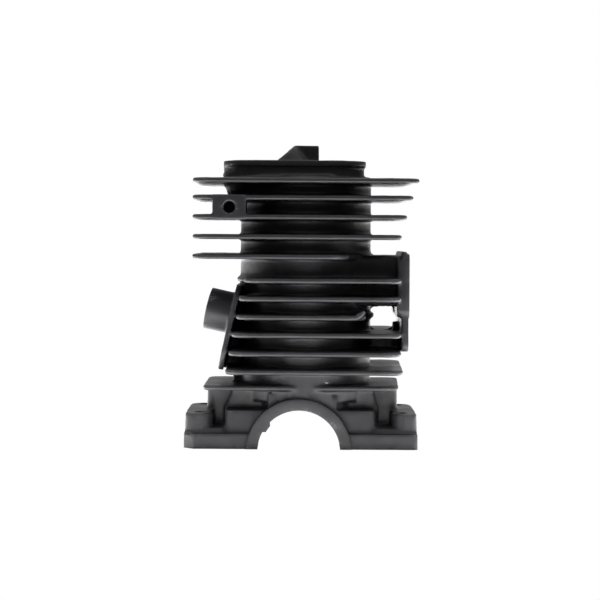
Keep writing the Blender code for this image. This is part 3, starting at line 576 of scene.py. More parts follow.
def pattern_case(sizes, solids):
    over = -CAST_OVER
    depth = sizes.base_half_depth
    foot_block((sizes.base_left, -depth, over), (sizes.base_right, depth, sizes.base_thickness), 0.0016,
               0.0040, solids)
    slab("case", (-0.0262, -0.0152, over), (0.0290, 0.0152, 0.0238), solids, 0.003)
    slab("case_ends", (-0.0371, -0.0105, over), (0.0397, 0.0105, 0.0238), solids, 0.003)
    slab("column", (-0.0120, -0.0232, 0.0100), (0.0150, 0.0232, 0.0238), solids, 0.0035)
    outline_block("front_wall", ((-0.0298, 0.004), (-0.0298, 0.0148), (-0.0290, 0.0162),
                                 (-0.0269, 0.0215), (-0.0265, 0.0236), (0.0292, 0.0236),
                                 (0.0296, 0.0215), (0.0310, 0.0162), (0.0314, 0.0148), (0.0314, 0.004)),
                  -0.0162, 0.0162, solids)
    tapered("cheek", (-0.0292, -0.0246, 0.004), (0.0301, 0.0246, 0.0149), 0.0006, solids, 0.0022)
    for name, low, high in (("left", sizes.base_left + 0.0004, -0.0343),
                            ("right", 0.0370, sizes.base_right - 0.0002)):
        tapered(f"lug_{name}", (low, -0.0258, 0.004), (high, 0.0211, sizes.lug_top), 0.0004, solids, 0.005)
    tapered("lug_apron_left", (sizes.base_left + 0.0026, -0.0252, 0.005), (-0.0280, 0.0215, 0.0080),
            0.0022, solids, 0.003)
    tapered("lug_apron_right", (0.0280, -0.0252, 0.005), (sizes.base_right - 0.0024, 0.0215, 0.0080),
            0.0022, solids, 0.003)
    turns = [ARCH_LEFT + ARCH_SWEEP * step / 16 for step in range(17)]
    arc = [(ARCH_RADIUS * math.sin(a), CRANK_AXIS_Z + ARCH_RADIUS * math.cos(a)) for a in turns]
    outline_block("arch", arc + [(arc[-1][0], 0.008), (arc[0][0], 0.008)], -ARCH_HALF_DEPTH,
                  ARCH_HALF_DEPTH, solids)
    on_crank("seat_ring", sizes.seat_half_depth, sizes.seat_radius + sizes.seat_wall, solids)


def on_crank(name, half_depth, radius, collection, segments=160, finish=None, y=0.0):
    """A round bar on the crank axis, so far to each side of its middle."""
    return bar(name, (0, y - half_depth, CRANK_AXIS_Z), (0, y + half_depth, CRANK_AXIS_Z), radius,
               collection, segments, finish=finish)


def core_casting(sizes, ports, cores):
    """The spaces that come out of the die: bore, dome, passages, web space and ports."""
    pocket = SLEEVE_HIGH.x - PIN_CENTRE.x
    bore_top = SLEEVE_HIGH.z - CRANK.z + 0.0003
    foot = 0.0204
    rise, reach = 0.0075, 0.0150
    sphere = (reach ** 2 + rise ** 2) / (2 * rise)
    sweep = math.asin(reach / sphere)
    arc = [sweep * step / 12 for step in range(13)]
    dome = [(sphere * math.sin(a), bore_top + rise - sphere * (1 - math.cos(a))) for a in arc]
    to_object("bore", turned(dome + [(pocket, bore_top), (pocket, foot), (0, foot)],
                             matrix=Matrix.Translation((BORE_OFFSET, 0, 0))), cores)
    for side in (-1, 1):
        low, high = sorted((side * (pocket - 0.006), side * (sizes.bulge_depth - 0.0025)))
        slab(f"passage_{side}", (BORE_OFFSET - 0.0074, low, 0.0215), (BORE_OFFSET + 0.0074, high, 0.0703),
             cores, 0.0015)
    on_crank("web_space", 0.0130, sizes.web_radius, cores)
    on_crank("seat_core", 0.045, sizes.seat_radius - CAST_OVER, cores)
    axis = intake_axis(ports)
    mouth = Vector((ports.intake_mouth_x, 0, ports.intake_mouth_z))
    bar("intake", mouth - axis * REACH, mouth + axis * 0.026, ports.stub_bore, cores)
    slab("exhaust", (BORE_OFFSET + 0.010, -0.0100, 0.0600), (EXHAUST_FACE_X + REACH, 0.0100, 0.0738),
         cores, 0.004, "X")
    slab("above_boss", (-0.04, -0.03, HEAD_TOP_Z + 0.0001), (0.04, 0.03, HEAD_TOP_Z + REACH), cores)


def machine_casting(sizes, ports, cuts):
    """The faces and holes that are cut after casting."""
    slab("parting", (-0.06, -0.05, -0.04), (0.06, 0.05, 0), cuts, finish=CUT)
    slab("exhaust_face", (EXHAUST_FACE_X, -0.03, 0.03), (EXHAUST_FACE_X + REACH, 0.03, 0.085), cuts,
         finish=CUT)
    reach = sizes.seat_half_depth + REACH
    seat = on_crank("seat", reach, sizes.seat_radius, cuts, finish=CUT)
    tab = slab("seat_tab", (-sizes.seat_radius - 0.002, -reach - REACH, 0.0068),
               (-0.0113, 0.0040 - sizes.seat_half_depth, 0.0112), cuts, finish=CUT)
    boolean(seat, "DIFFERENCE", tab)
    settle(seat)
    bpy.data.objects.remove(tab)
    inlet = intake_axis(ports)
    mouth = Vector((ports.intake_mouth_x, 0, ports.intake_mouth_z))
    bar("intake_ream", mouth - inlet * REACH, mouth + inlet * 0.006, ports.stub_bore + 0.0003, cuts, 96,
        finish=CUT)
    for y in (-0.0235, 0.0235):
        on_crank("seat_groove", 0.0008, sizes.seat_radius + 0.0009, cuts, finish=CUT, y=y)
    axis, middle = plug_axis(ports), plug_seat()
    face = Matrix.Translation(middle) @ axis.to_track_quat("Z", "Y").to_matrix().to_4x4()
    thread, pitch, crests = ports.plug_thread, 0.00125, 10
    profile = [(0, 0.032), (ports.plug_seat, 0.032), (ports.plug_seat, 0), (thread + 0.0009, 0)]
    profile.append((thread, -0.0008))
    for turn in range(crests):
        high = -0.0010 - turn * pitch
        profile += [(thread + 0.0006, high - pitch * 0.5), (thread, high - pitch * 0.95)]
    profile += [(thread, -0.019), (0, -0.019)]
    to_object("plug_hole", turned(profile, 64, face), cuts, CUT)
    mouth = Vector((ports.intake_mouth_x, 0, ports.intake_mouth_z))
    outward = Matrix.Rotation(math.radians(-4.6), 3, "Z") @ -intake_axis(ports)
    bar("stub_mouth", mouth + outward * REACH, mouth, ports.stub_radius * 2, cuts, finish=COAT)
    for x, y in BASE_SCREWS:
        bar("base_screw", (x, y, -REACH), (x, y, sizes.lug_top + REACH), 0.0022, cuts, 40, finish=COAT)
        bar("countersink", (x, y, sizes.lug_top - 0.0010), (x, y, sizes.lug_top + 0.0010), 0.0022, cuts,
            40, 0.0038, finish=COAT)
    for y, z in FLANGE_SCREWS:
        bar("flange_screw", (ports.flange_inner - 0.004, y, z), (EXHAUST_FACE_X + REACH, y, z), 0.0021,
            cuts, 40, finish=CUT)
    hole = Vector((-0.0277, LUG_FACE_Y, (FINS[1][2] + FINS[2][2]) / 2))
    bar("coil_hole", hole - Vector((0, REACH, 0)), hole + Vector((0, 0.012, 0)), 0.0023, cuts, 40,
        finish=COAT)
    bar("coil_chamfer", hole - Vector((0, 0.001, 0)), hole + Vector((0, 0.0005, 0)), 0.0038, cuts, 40,
        0.0023, finish=COAT)


def cast_skin(obj, sizes):
    """Rounds the sharp pattern into one as-cast skin, with soft edges, fillets and slow waves."""
    grid = obj.modifiers.new("skin", "REMESH")
    grid.mode = "VOXEL"
    grid.voxel_size = sizes.rounding * 1
    settle(obj)
    case = obj.vertex_groups.new(name="case")
    case.add([v.index for v in obj.data.vertices
              if 0.0064 < v.co.z < 0.0226 and 0.0120 < abs(v.co.y) < 0.0244], 1.0, "REPLACE")
    blend = obj.modifiers.new("blend", "SMOOTH")
    blend.vertex_group = case.name
    blend.factor = 0.5
    blend.iterations = sizes.case_blend
    soften = obj.modifiers.new("soften", "SMOOTH")
    soften.factor = 0.5
    soften.iterations = 5
    waves = bpy.data.textures.new("cast_waves", "CLOUDS")
    waves.noise_scale = 0.006
    ripple = obj.modifiers.new("waves", "DISPLACE")
    ripple.texture = waves
    ripple.strength = sizes.waviness
    ripple.mid_level = 0.55
    mesh = settle(obj)
    thin = obj.modifiers.new("thin", "DECIMATE")
    thin.ratio = min(1.0, 165000 / (2 * len(mesh.polygons)))
    settle(obj)


def mark_bare(obj, sizes, ports):
    """Gives the inner spaces, which the coating doesn't reach, the bare finish."""
    pocket = SLEEVE_HIGH.x - PIN_CENTRE.x + 0.0006
    axis = intake_axis(ports)
    mouth = Vector((ports.intake_mouth_x, 0, ports.intake_mouth_z))
    for polygon in obj.data.polygons:
        if polygon.material_index != COAT:
            continue
        c = polygon.center
        from_bore = math.hypot(c.x - BORE_OFFSET, c.y)
        from_crank = math.hypot(c.x, c.z - CRANK_AXIS_Z)
        along = (c - mouth).dot(axis)
        from_intake = ((c - mouth) - axis * along).length
        in_bore = from_bore < pocket and c.z < HEAD_TOP_Z - 0.014
        in_passage = abs(c.x - BORE_OFFSET) < 0.0085 and abs(c.y) < 0.0257 and 0.0212 < c.z < 0.0708
        in_web = from_crank < sizes.web_radius + 0.0006 and abs(c.y) < 0.0134
        in_exhaust = c.x > 0.02 and abs(c.y) < 0.0105 and 0.0595 < c.z < 0.0743
        in_intake = from_intake < ports.stub_bore + 0.0005 and along > 0.0006
        if in_bore or in_passage or in_web or in_exhaust or in_intake:
            polygon.material_index = BARE


# ---------------------------------------------------------------- finishes
def node_group(name, inputs, outputs):
    """An empty shader node group with named float or colour sockets."""
    group = bpy.data.node_groups.new(name, "ShaderNodeTree")
    for label, kind, default in inputs:
        socket = group.interface.new_socket(label, in_out="INPUT", socket_type=kind)
        socket.default_value = default
    for label, kind in outputs:
        group.interface.new_socket(label, in_out="OUTPUT", socket_type=kind)
    return group, group.nodes.new("NodeGroupInput"), group.nodes.new("NodeGroupOutput")


def math_node(tree, operation, first, second):
    node = tree.nodes.new("ShaderNodeMath")
    node.operation = operation
    node.use_clamp = operation == "MULTIPLY"
    for socket, value in zip(node.inputs, (first, second)):
        if isinstance(value, bpy.types.NodeSocket):
            tree.links.new(value, socket)
        else:
            socket.default_value = value
    return node.outputs[0]


def noise(tree, scale, detail=2.0, roughness=0.5, squash=None):
    """A noise on Object coordinates, whose scale may come from a socket."""
    node = tree.nodes.new("ShaderNodeTexNoise")
    node.inputs["Detail"].default_value = detail
    node.inputs["Roughness"].default_value = roughness
    where = tree.nodes.new("ShaderNodeTexCoord").outputs["Object"]
    if squash:
        mapping = tree.nodes.new("ShaderNodeMapping")
        mapping.inputs["Scale"].default_value = squash
        tree.links.new(where, mapping.inputs["Vector"])
        where = mapping.outputs["Vector"]
    tree.links.new(where, node.inputs["Vector"])
    if isinstance(scale, bpy.types.NodeSocket):
        tree.links.new(scale, node.inputs["Scale"])
    else:
        node.inputs["Scale"].default_value = scale
    return node.outputs["Fac"]


def remap(tree, value, low, high, to_low=0.0, to_high=1.0):
    node = tree.nodes.new("ShaderNodeMapRange")
    tree.links.new(value, node.inputs["Value"])
    for label, setting in (("From Min", low), ("From Max", high), ("To Min", to_low), ("To Max", to_high)):
        if isinstance(setting, bpy.types.NodeSocket):
            tree.links.new(setting, node.inputs[label])
        else:
            node.inputs[label].default_value = setting
    return node.outputs["Result"]


def build_worn_and_highlit_edges():
    """Where a coating is worn through: convex edges, broken up by two noises. The second mask covers every
    convex edge, smooth, for a painted highlight along them.
    """
    group, given, result = node_group(
        "worn_and_highlit_edges",
        (("Amount", "NodeSocketFloat", 0.5), ("Speckle Scale", "NodeSocketFloat", 1500.0)),
        (("Mask", "NodeSocketFloat"), ("Rub And Highlight", "NodeSocketFloat")))
    sharpness = group.nodes.new("ShaderNodeNewGeometry").outputs["Pointiness"]
    edge = remap(group, sharpness, 0.525, 0.575)
    # Painted highlight mask: every convex edge, without noise, lightens the coat.
    group.links.new(remap(group, sharpness, 0.51, 0.57), result.inputs["Rub And Highlight"])
    fine = remap(group, noise(group, given.outputs["Speckle Scale"], 3.0, 0.6), 0.53, 0.60)
    broad = remap(group, noise(group, 55.0, 2.0), 0.44, 0.56)
    mask = math_node(group, "MULTIPLY", edge, math_node(group, "MULTIPLY", fine, broad))
    group.links.new(math_node(group, "MULTIPLY", mask, given.outputs["Amount"]), result.inputs["Mask"])
    return group


def build_cast_grain():
    """The skin of cast or coated metal: a fine grain for bump, and a slow change of tone."""
    group, given, result = node_group(
        "cast_grain",
        (("Grain Scale", "NodeSocketFloat", 2600.0), ("Tone Scale", "NodeSocketFloat", 90.0)),
        (("Height", "NodeSocketFloat"), ("Tone", "NodeSocketFloat")))
    fine = noise(group, given.outputs["Grain Scale"], 3.0, 0.6)
    coarse = noise(group, 480.0, 3.0, 0.55)
    height = math_node(group, "ADD", math_node(group, "MULTIPLY", fine, 0.45),
                       math_node(group, "MULTIPLY", coarse, 0.55))
    group.links.new(height, result.inputs["Height"])
    group.links.new(remap(group, noise(group, given.outputs["Tone Scale"], 4.0, 0.6), 0.3, 0.7),
                    result.inputs["Tone"])
    return group


def build_level_dust():
    """Pale dust that settles on faces that look up."""
    group, given, result = node_group(
        "level_dust", (("Amount", "NodeSocketFloat", 0.2),), (("Mask", "NodeSocketFloat"),))
    split = group.nodes.new("ShaderNodeSeparateXYZ")
    group.links.new(group.nodes.new("ShaderNodeNewGeometry").outputs["Normal"], split.inputs[0])
    level = remap(group, split.outputs["Z"], 0.6, 1.0)
    patches = remap(group, noise(group, 240.0, 5.0, 0.65), 0.35, 0.75)
    mask = math_node(group, "MULTIPLY", level, patches)
    group.links.new(math_node(group, "MULTIPLY", mask, given.outputs["Amount"]), result.inputs["Mask"])
    return group


def build_tool_marks():
    """Fine lines of a cutter or grinder. The squash sets the way they run."""
    group, given, result = node_group(
        "tool_marks",
        (("Squash", "NodeSocketVector", (1.0, 1.0, 1.0)), ("Mark Scale", "NodeSocketFloat", 900.0)),
        (("Height", "NodeSocketFloat"), ("Tone", "NodeSocketFloat")))
    mapping = group.nodes.new("ShaderNodeMapping")
    group.links.new(group.nodes.new("ShaderNodeTexCoord").outputs["Object"], mapping.inputs["Vector"])
    group.links.new(given.outputs["Squash"], mapping.inputs["Scale"])
    lines = group.nodes.new("ShaderNodeTexNoise")
    lines.inputs["Detail"].default_value = 3.0
    group.links.new(mapping.outputs["Vector"], lines.inputs["Vector"])
    group.links.new(given.outputs["Mark Scale"], lines.inputs["Scale"])
    group.links.new(lines.outputs["Fac"], result.inputs["Height"])
    group.links.new(remap(group, noise(group, 150.0, 3.0), 0.3, 0.7), result.inputs["Tone"])
    return group


def new_material(name, base, roughness, metallic):
    material = bpy.data.materials.new(name)
    material.use_nodes = True
    tree = material.node_tree
    shader = tree.nodes["Principled BSDF"]
    shader.inputs["Base Color"].default_value = (*base, 1)
    shader.inputs["Roughness"].default_value = roughness
    shader.inputs["Metallic"].default_value = metallic
    return material, tree, shader


def use_group(tree, group, **settings):
    node = tree.nodes.new("ShaderNodeGroup")
    node.node_tree = group
    for label, value in settings.items():
        node.inputs[label.replace("_", " ")].default_value = value
    return node


def blend_colour(tree, mask, first, second):
    """Two colours mixed by a mask. The first may be a socket."""
    mix = tree.nodes.new("ShaderNodeMix")
    mix.data_type = "RGBA"
    tree.links.new(mask, mix.inputs["Factor"])
    for socket, value in ((mix.inputs[6], first), (mix.inputs[7], second)):
        if isinstance(value, bpy.types.NodeSocket):
            tree.links.new(value, socket)
        else:
            socket.default_value = (*value, 1)
    return mix.outputs[2]


def add_bump(tree, shader, height, distance, strength=1.0):
    bump = tree.nodes.new("ShaderNodeBump")
    bump.inputs["Distance"].default_value = distance
    bump.inputs["Strength"].default_value = strength
    tree.links.new(height, bump.inputs["Height"])
    tree.links.new(bump.outputs["Normal"], shader.inputs["Normal"])


def black_coat(finish, groups):
    material, tree, shader = new_material("black_coat", finish.coat, finish.coat_roughness, 0.0)
    grain = use_group(tree, groups["cast_grain"])
    worn = use_group(tree, groups["worn_and_highlit_edges"], Amount=finish.wear)
    dust = use_group(tree, groups["level_dust"], Amount=finish.dust)
    darker = tuple(0.72 * value for value in finish.coat)
    toned = blend_colour(tree, grain.outputs["Tone"], darker, finish.coat)
    # Painted highlight: the coat pales along every convex edge. It is partly worn coat, and mostly stands
    # in for the light that the rounded fin fronts catch.
    rub_and_highlight_mask = math_node(tree, "MULTIPLY", worn.outputs["Rub And Highlight"], 0.5)
    rub_and_highlight = blend_colour(tree, rub_and_highlight_mask, toned, finish.rub_and_highlight)
    dusty = blend_colour(tree, dust.outputs["Mask"], rub_and_highlight, (0.16, 0.155, 0.15))
    base = blend_colour(tree, worn.outputs["Mask"], dusty, finish.worn)
    tree.links.new(base, shader.inputs["Base Color"])
    tree.links.new(remap(tree, grain.outputs["Tone"], 0.0, 1.0, finish.coat_roughness + 0.10,
                         finish.coat_roughness - 0.04), shader.inputs["Roughness"])
    tree.links.new(math_node(tree, "MULTIPLY", worn.outputs["Mask"], 0.8), shader.inputs["Metallic"])
    add_bump(tree, shader, grain.outputs["Height"], 0.00006, 0.55)
    return material


def bare_casting(finish, groups):
    material, tree, shader = new_material("bare_casting", finish.bare, 0.5, 0.9)
    grain = use_group(tree, groups["cast_grain"], Grain_Scale=1900.0)
    darker = tuple(0.62 * value for value in finish.bare)
    base = blend_colour(tree, grain.outputs["Tone"], darker, finish.bare)
    tree.links.new(base, shader.inputs["Base Color"])
    tree.links.new(remap(tree, grain.outputs["Tone"], 0.0, 1.0, 0.62, 0.44), shader.inputs["Roughness"])
    add_bump(tree, shader, grain.outputs["Height"], 0.00008, 0.7)
    return material


def marked_metal(name, base, roughness, groups, squash, scale=900.0, depth=0.00002):
    """A cut metal, with the marks of its tool and a slow change of tone."""
    material, tree, shader = new_material(name, base, roughness, 1.0)
    marks = use_group(tree, groups["tool_marks"], Squash=squash, Mark_Scale=scale)
    darker = tuple(0.80 * value for value in base)
    tree.links.new(blend_colour(tree, marks.outputs["Tone"], darker, base), shader.inputs["Base Color"])
    tree.links.new(remap(tree, marks.outputs["Height"], 0.3, 0.7, roughness - 0.06, roughness + 0.10),
                   shader.inputs["Roughness"])
    add_bump(tree, shader, marks.outputs["Height"], depth, 0.5)
    return material


def finishes():
    """All the materials by name, made once."""
    made = bpy.data.materials
    if "black_coat" not in made:
        finish = bpy.context.scene.cylinder_finish
        groups = {"worn_and_highlit_edges": build_worn_and_highlit_edges(), "cast_grain": build_cast_grain(),
                  "level_dust": build_level_dust(), "tool_marks": build_tool_marks()}
        black_coat(finish, groups)
        bare_casting(finish, groups)
        marked_metal("machined_face", finish.cut, 0.30, groups, (1.0, 0.06, 1.0))
        marked_metal("honed_iron_finish", finish.iron, 0.32, groups, (1.0, 1.0, 2.6), 700.0)
        marked_metal("piston_finish", finish.alloy, 0.34, groups, (0.12, 0.12, 5.0), 800.0, 0.00003)
        marked_metal("ground_finish", finish.steel, 0.22, groups, (0.3, 3.0, 0.3), 900.0, 0.00001)
        marked_metal("ring_finish", finish.steel, 0.30, groups, (0.2, 0.2, 4.0), 900.0, 0.00001)
        marked_metal("cage_finish", finish.cage, 0.38, groups, (1.0, 0.4, 1.0), 600.0)
    return made


# ---------------------------------------------------------------- operators, one for each piece or group
class CYLINDER_OT_casting(bpy.types.Operator):
    """Casting: head, fins, barrel, stub, flange and crankcase half in one piece"""
    bl_idname = "cylinder.casting"
    bl_label = "Casting"

    def execute(self, context):
        sizes, ports = context.scene.cylinder_casting, context.scene.cylinder_ports
        solids, cores, cuts = bench("pattern"), bench("cores"), bench("machining")
        pattern_barrel(sizes, solids)
        pattern_head(sizes, ports, solids)
        pattern_fins(sizes, solids)
        pattern_coil_lug(sizes, solids)
        pattern_intake(ports, solids)
        pattern_exhaust(ports, solids)
        pattern_case(sizes, solids)
        pattern_flash(solids)
        core_casting(sizes, ports, cores)
        machine_casting(sizes, ports, cuts)
        heart = bench("heart")
        body = slab("casting", (-0.029, -0.020, 0), (0.031, 0.020, 0.012), heart)
        boolean(body, "UNION", solids)
        boolean(body, "DIFFERENCE", cores)
        cast_skin(body, sizes)
        for finish in (COAT, BARE, CUT):
            body.data.materials.append(None)
        boolean(body, "DIFFERENCE", cuts)
        settle(body)
        mark_bare(body, sizes, ports)
        body.data.transform(Matrix.Translation(CRANK))
        made = finishes()
        present(body, "casting_body", "cylinder", ["cylinder_casting"],
                [made["black_coat"], made["bare_casting"], made["machined_face"]], 38)
        clear_bench(solids, cores, cuts, heart)
        return {"FINISHED"}


class CYLINDER_OT_sleeve(bpy.types.Operator):
    """Sleeve: the ported iron liner cast into the barrel"""
    bl_idname = "cylinder.sleeve"
    bl_label = "Sleeve"

    def execute(self, context):
        ports = context.scene.cylinder_ports
        tools = bench("sleeve_tools")
        outer = SLEEVE_HIGH.x - PIN_CENTRE.x
        inner = outer - 0.0017
        at_bore = Matrix.Translation((PIN_CENTRE.x, PIN_CENTRE.y, 0))
        profile = chamfered(outer, inner, SLEEVE_LOW.z, SLEEVE_HIGH.z, 0.0003)
        liner = to_object("liner", turned(profile, 160, at_bore), tools)
        windows = bench("sleeve_windows")
        crown_low = CROWN_Z - 0.028
        slab("exhaust_window", (PIN_CENTRE.x + 0.009, CRANK.y - 0.0100, crown_low),
             (PIN_CENTRE.x + 0.03, CRANK.y + 0.0100, CROWN_Z - 0.0200), windows, 0.002, "X")
        axis = intake_axis(ports)
        mouth = CRANK + Vector((ports.intake_mouth_x, 0, ports.intake_mouth_z))
        bar("intake_window", mouth, mouth + axis * 0.030, ports.stub_bore, windows)
        for side in (-1, 1):
            low, high = sorted((side * 0.009, side * 0.030))
            slab("transfer_window", (PIN_CENTRE.x - 0.0080, CRANK.y + low, crown_low),
                 (PIN_CENTRE.x + 0.0080, CRANK.y + high, crown_low + 0.0045), windows, 0.0012, "Y")
        boolean(liner, "DIFFERENCE", windows)
        settle(liner)
        present(liner, "sleeve_liner", "cylinder", ["cylinder_sleeve"],
                [finishes()["honed_iron_finish"]])
        clear_bench(tools, windows)
        return {"FINISHED"}


def piston_profile(radius, inner):
    """Down the outside with its ring grooves, then up the inside to the crown."""
    groove = radius + 0.0001 - 0.0020
    profile = [(0, CROWN_Z), (radius - 0.0005, CROWN_Z), (radius, CROWN_Z - 0.0005)]
    for _, land, _ in RINGS:
        top, low = CROWN_Z - land, CROWN_Z - land - 0.0014
        profile += [(radius, top), (groove, top), (groove, low), (radius, low)]
    belt = CROWN_Z - 0.0098
    profile += [(radius, SKIRT_Z + 0.0006), (radius - 0.0004, SKIRT_Z), (inner + 0.0003, SKIRT_Z),
                (inner, SKIRT_Z + 0.0004), (inner, belt - 0.002), (groove - 0.0022, belt)]
    floor = CROWN_Z - 0.0035
    bend = groove - 0.0022
    profile += [(bend - 0.003 + 0.003 * math.cos(a), floor - 0.003 + 0.003 * math.sin(a))
                for a in (math.radians(15 * step) for step in range(7))]
    return profile + [(0, floor)]


def along_y(x, z):
    """A turned shape's Z axis laid along Y, at this X and Z."""
    return Matrix.Translation((x, PIN_CENTRE.y, z)) @ Matrix.Rotation(math.radians(-90), 4, "X")


class CYLINDER_OT_piston(bpy.types.Operator):
    """Piston: turned outside, hollow inside, with two pin bosses"""
    bl_idname = "cylinder.piston"
    bl_label = "Piston"

    def execute(self, context):
        tools, bosses, drills = bench("piston_tools"), bench("pin_bosses"), bench("piston_drills")
        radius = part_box("piston")[1].x - PIN_CENTRE.x
        inner = radius - 0.0018
        at_bore = Matrix.Translation((PIN_CENTRE.x, PIN_CENTRE.y, 0))
        blank = to_object("piston_blank", turned(piston_profile(radius, inner), 160, at_bore), tools)
        for side in (-1, 1):
            near, far = PIN_CENTRE.y + side * 0.00775, PIN_CENTRE.y + side * (inner + 0.0006)
            boss = bar("pin_boss", (PIN_CENTRE.x, near, PIN_CENTRE.z), (PIN_CENTRE.x, far, PIN_CENTRE.z),
                       0.0076, bosses, 72, 0.0088)
            limit = to_object("limit", turned([(0, CROWN_Z - 0.001), (radius - 0.0004, CROWN_Z - 0.001),
                                               (radius - 0.0004, SKIRT_Z - 0.01), (0, SKIRT_Z - 0.01)],
                                              96, at_bore), tools)
            boolean(boss, "INTERSECT", limit)
            settle(boss)
        hole = 0.0051
        for name, reach, size in (("pin_bore", 0.030, hole), ("front_groove", None, hole + 0.0006),
                                  ("rear_groove", None, hole + 0.0006)):
            if reach:
                bar(name, PIN_CENTRE - Vector((0, reach, 0)), PIN_CENTRE + Vector((0, reach, 0)), size,
                    drills, 66)
                continue
            middle = PIN_CENTRE + Vector((0, 0.0147 if name == "rear_groove" else -0.0147, 0))
            bar(name, middle - Vector((0, 0.0007, 0)), middle + Vector((0, 0.0007, 0)), size, drills, 66)
        for line in peg_lines(0.0002):
            bar("peg_hole", *line, 0.0006, drills, 18)
        boolean(blank, "UNION", bosses)
        boolean(blank, "DIFFERENCE", drills)
        settle(blank)
        present(blank, "piston_body", "piston", ["piston"], [finishes()["piston_finish"]])
        clear_bench(tools, bosses, drills)
        return {"FINISHED"}


def peg_lines(deeper=0.0):
    """Start and end of each ring peg, which points out of its groove into the ring's gap."""
    lines = []
    for _, land, turn in RINGS:
        centre = Vector((PIN_CENTRE.x, PIN_CENTRE.y, CROWN_Z - land - 0.0007))
        out = Vector((math.cos(turn), math.sin(turn), 0))
        lines.append((centre + out * (0.0155 - deeper), centre + out * 0.0182))
    return lines


class CYLINDER_OT_rings(bpy.types.Operator):
    """Rings: two split piston rings and the pegs that hold their gaps"""
    bl_idname = "cylinder.rings"
    bl_label = "Rings and pegs"

    def execute(self, context):
        made = finishes()
        tools = bench("ring_tools")
        for (name, land, turn), line in zip(RINGS, peg_lines()):
            high, low = CROWN_Z - land - 0.0001, CROWN_Z - land - 0.0013
            at_bore = Matrix.Translation((PIN_CENTRE.x, PIN_CENTRE.y, 0))
            ring = to_object("ring", turned(chamfered(0.01894, 0.0173, low, high, 0.00012), 180, at_bore),
                             tools)
            gap = slab("gap", (0.009, -0.0013, low - 0.002), (0.03, 0.0013, high + 0.002), tools,
                       turn=at_bore @ Matrix.Rotation(turn, 4, "Z"))
            boolean(ring, "DIFFERENCE", gap)
            settle(ring)
            present(ring, f"ring_{name}", "piston", [f"{name}_piston_ring"],
                    [made["ring_finish"]])
            peg = bar("peg", *line, 0.0004, tools, 24)
            present(peg, f"peg_{name}", "piston", [f"{name}_ring_peg"],
                    [made["ground_finish"]])
        clear_bench(tools)
        return {"FINISHED"}


class CYLINDER_OT_pin(bpy.types.Operator):
    """Gudgeon pin: a ground tube with chamfered ends, and the wire clips that hold it"""
    bl_idname = "cylinder.pin"
    bl_label = "Gudgeon pin and clips"

    def execute(self, context):
        made = finishes()
        tools = bench("pin_tools")
        tube = turned(chamfered(0.005, 0.0033, -0.014, 0.014, 0.0004), 96,
                      along_y(PIN_CENTRE.x, PIN_CENTRE.z))
        present(to_object("tube", tube, tools), "pin_tube", "gudgeon_pin", ["gudgeon_pin"],
                [made["ground_finish"]])
        middle, wire = 0.0050, 0.0006
        for name, side in (("front", -1), ("rear", 1)):
            bm = bmesh.new()
            start = -math.pi / 2 + math.radians(30)
            frame_turn = Matrix.Translation((middle, 0, 0))
            bmesh.ops.create_circle(bm, cap_ends=False, radius=wire, segments=14,
                                    matrix=frame_turn @ Matrix.Rotation(math.radians(90), 4, "X"))
            bmesh.ops.transform(bm, matrix=Matrix.Rotation(start, 4, "Z"), verts=bm.verts)
            bmesh.ops.spin(bm, geom=bm.verts[:] + bm.edges[:], cent=(0, 0, 0), axis=(0, 0, 1),
                           dvec=(0, 0, 0), angle=math.radians(300), steps=60, use_duplicate=False)
            bmesh.ops.holes_fill(bm, edges=[e for e in bm.edges if e.is_boundary], sides=0)
            spot = along_y(PIN_CENTRE.x, PIN_CENTRE.z) @ Matrix.Translation((0, 0, side * 0.0147))
            bmesh.ops.transform(bm, matrix=spot @ Matrix.Scale(-1, 4, (0, 1, 0)), verts=bm.verts)
            present(to_object("clip", bm, tools), f"clip_{name}", "piston", [f"{name}_circlip"],
                    [made["ground_finish"]], 60)
        clear_bench(tools)
        return {"FINISHED"}


class CYLINDER_OT_bearing(bpy.types.Operator):
    """Small-end bearing: a slotted cage and its needles"""
    bl_idname = "cylinder.bearing"
    bl_label = "Small-end bearing"

    def execute(self, context):
        made = finishes()
        tools, slots = bench("bearing_tools"), bench("cage_slots")
        orbit = 0.0061
        ring = turned(chamfered(orbit + 0.00065, orbit - 0.00065, -0.0065, 0.0065, 0.00015), 96,
                      along_y(PIN_CENTRE.x, PIN_CENTRE.z))
        cage = to_object("cage", ring, tools)
        names = [f"needle_roller_{number:02d}" for number in range(1, NEEDLES + 1)]
        for number, node in enumerate(names):
            turn = math.tau * number / NEEDLES
            spot = PIN_CENTRE + Vector((orbit * math.cos(turn), 0, orbit * math.sin(turn)))
            slab("slot", (-0.0013, -0.0051, -0.0011), (0.0013, 0.0051, 0.0011), slots, 0.0003, "X",
                 turn=Matrix.Translation(spot) @ Matrix.Rotation(-turn, 4, "Y"))
            profile = [(0, 0.0049), (0.00085, 0.0049), (0.001, 0.00475), (0.001, -0.00475),
                       (0.00085, -0.0049), (0, -0.0049)]
            roller = to_object("roller", turned(profile, 28, along_y(spot.x, spot.z)), tools)
            present(roller, f"roller_{number + 1:02d}", "small_end_bearing", [node],
                    [made["ground_finish"]])
        boolean(cage, "DIFFERENCE", slots)
        settle(cage)
        present(cage, "bearing_cage", "small_end_bearing", ["small_end_cage"],
                [made["cage_finish"]])
        clear_bench(tools, slots)
        return {"FINISHED"}


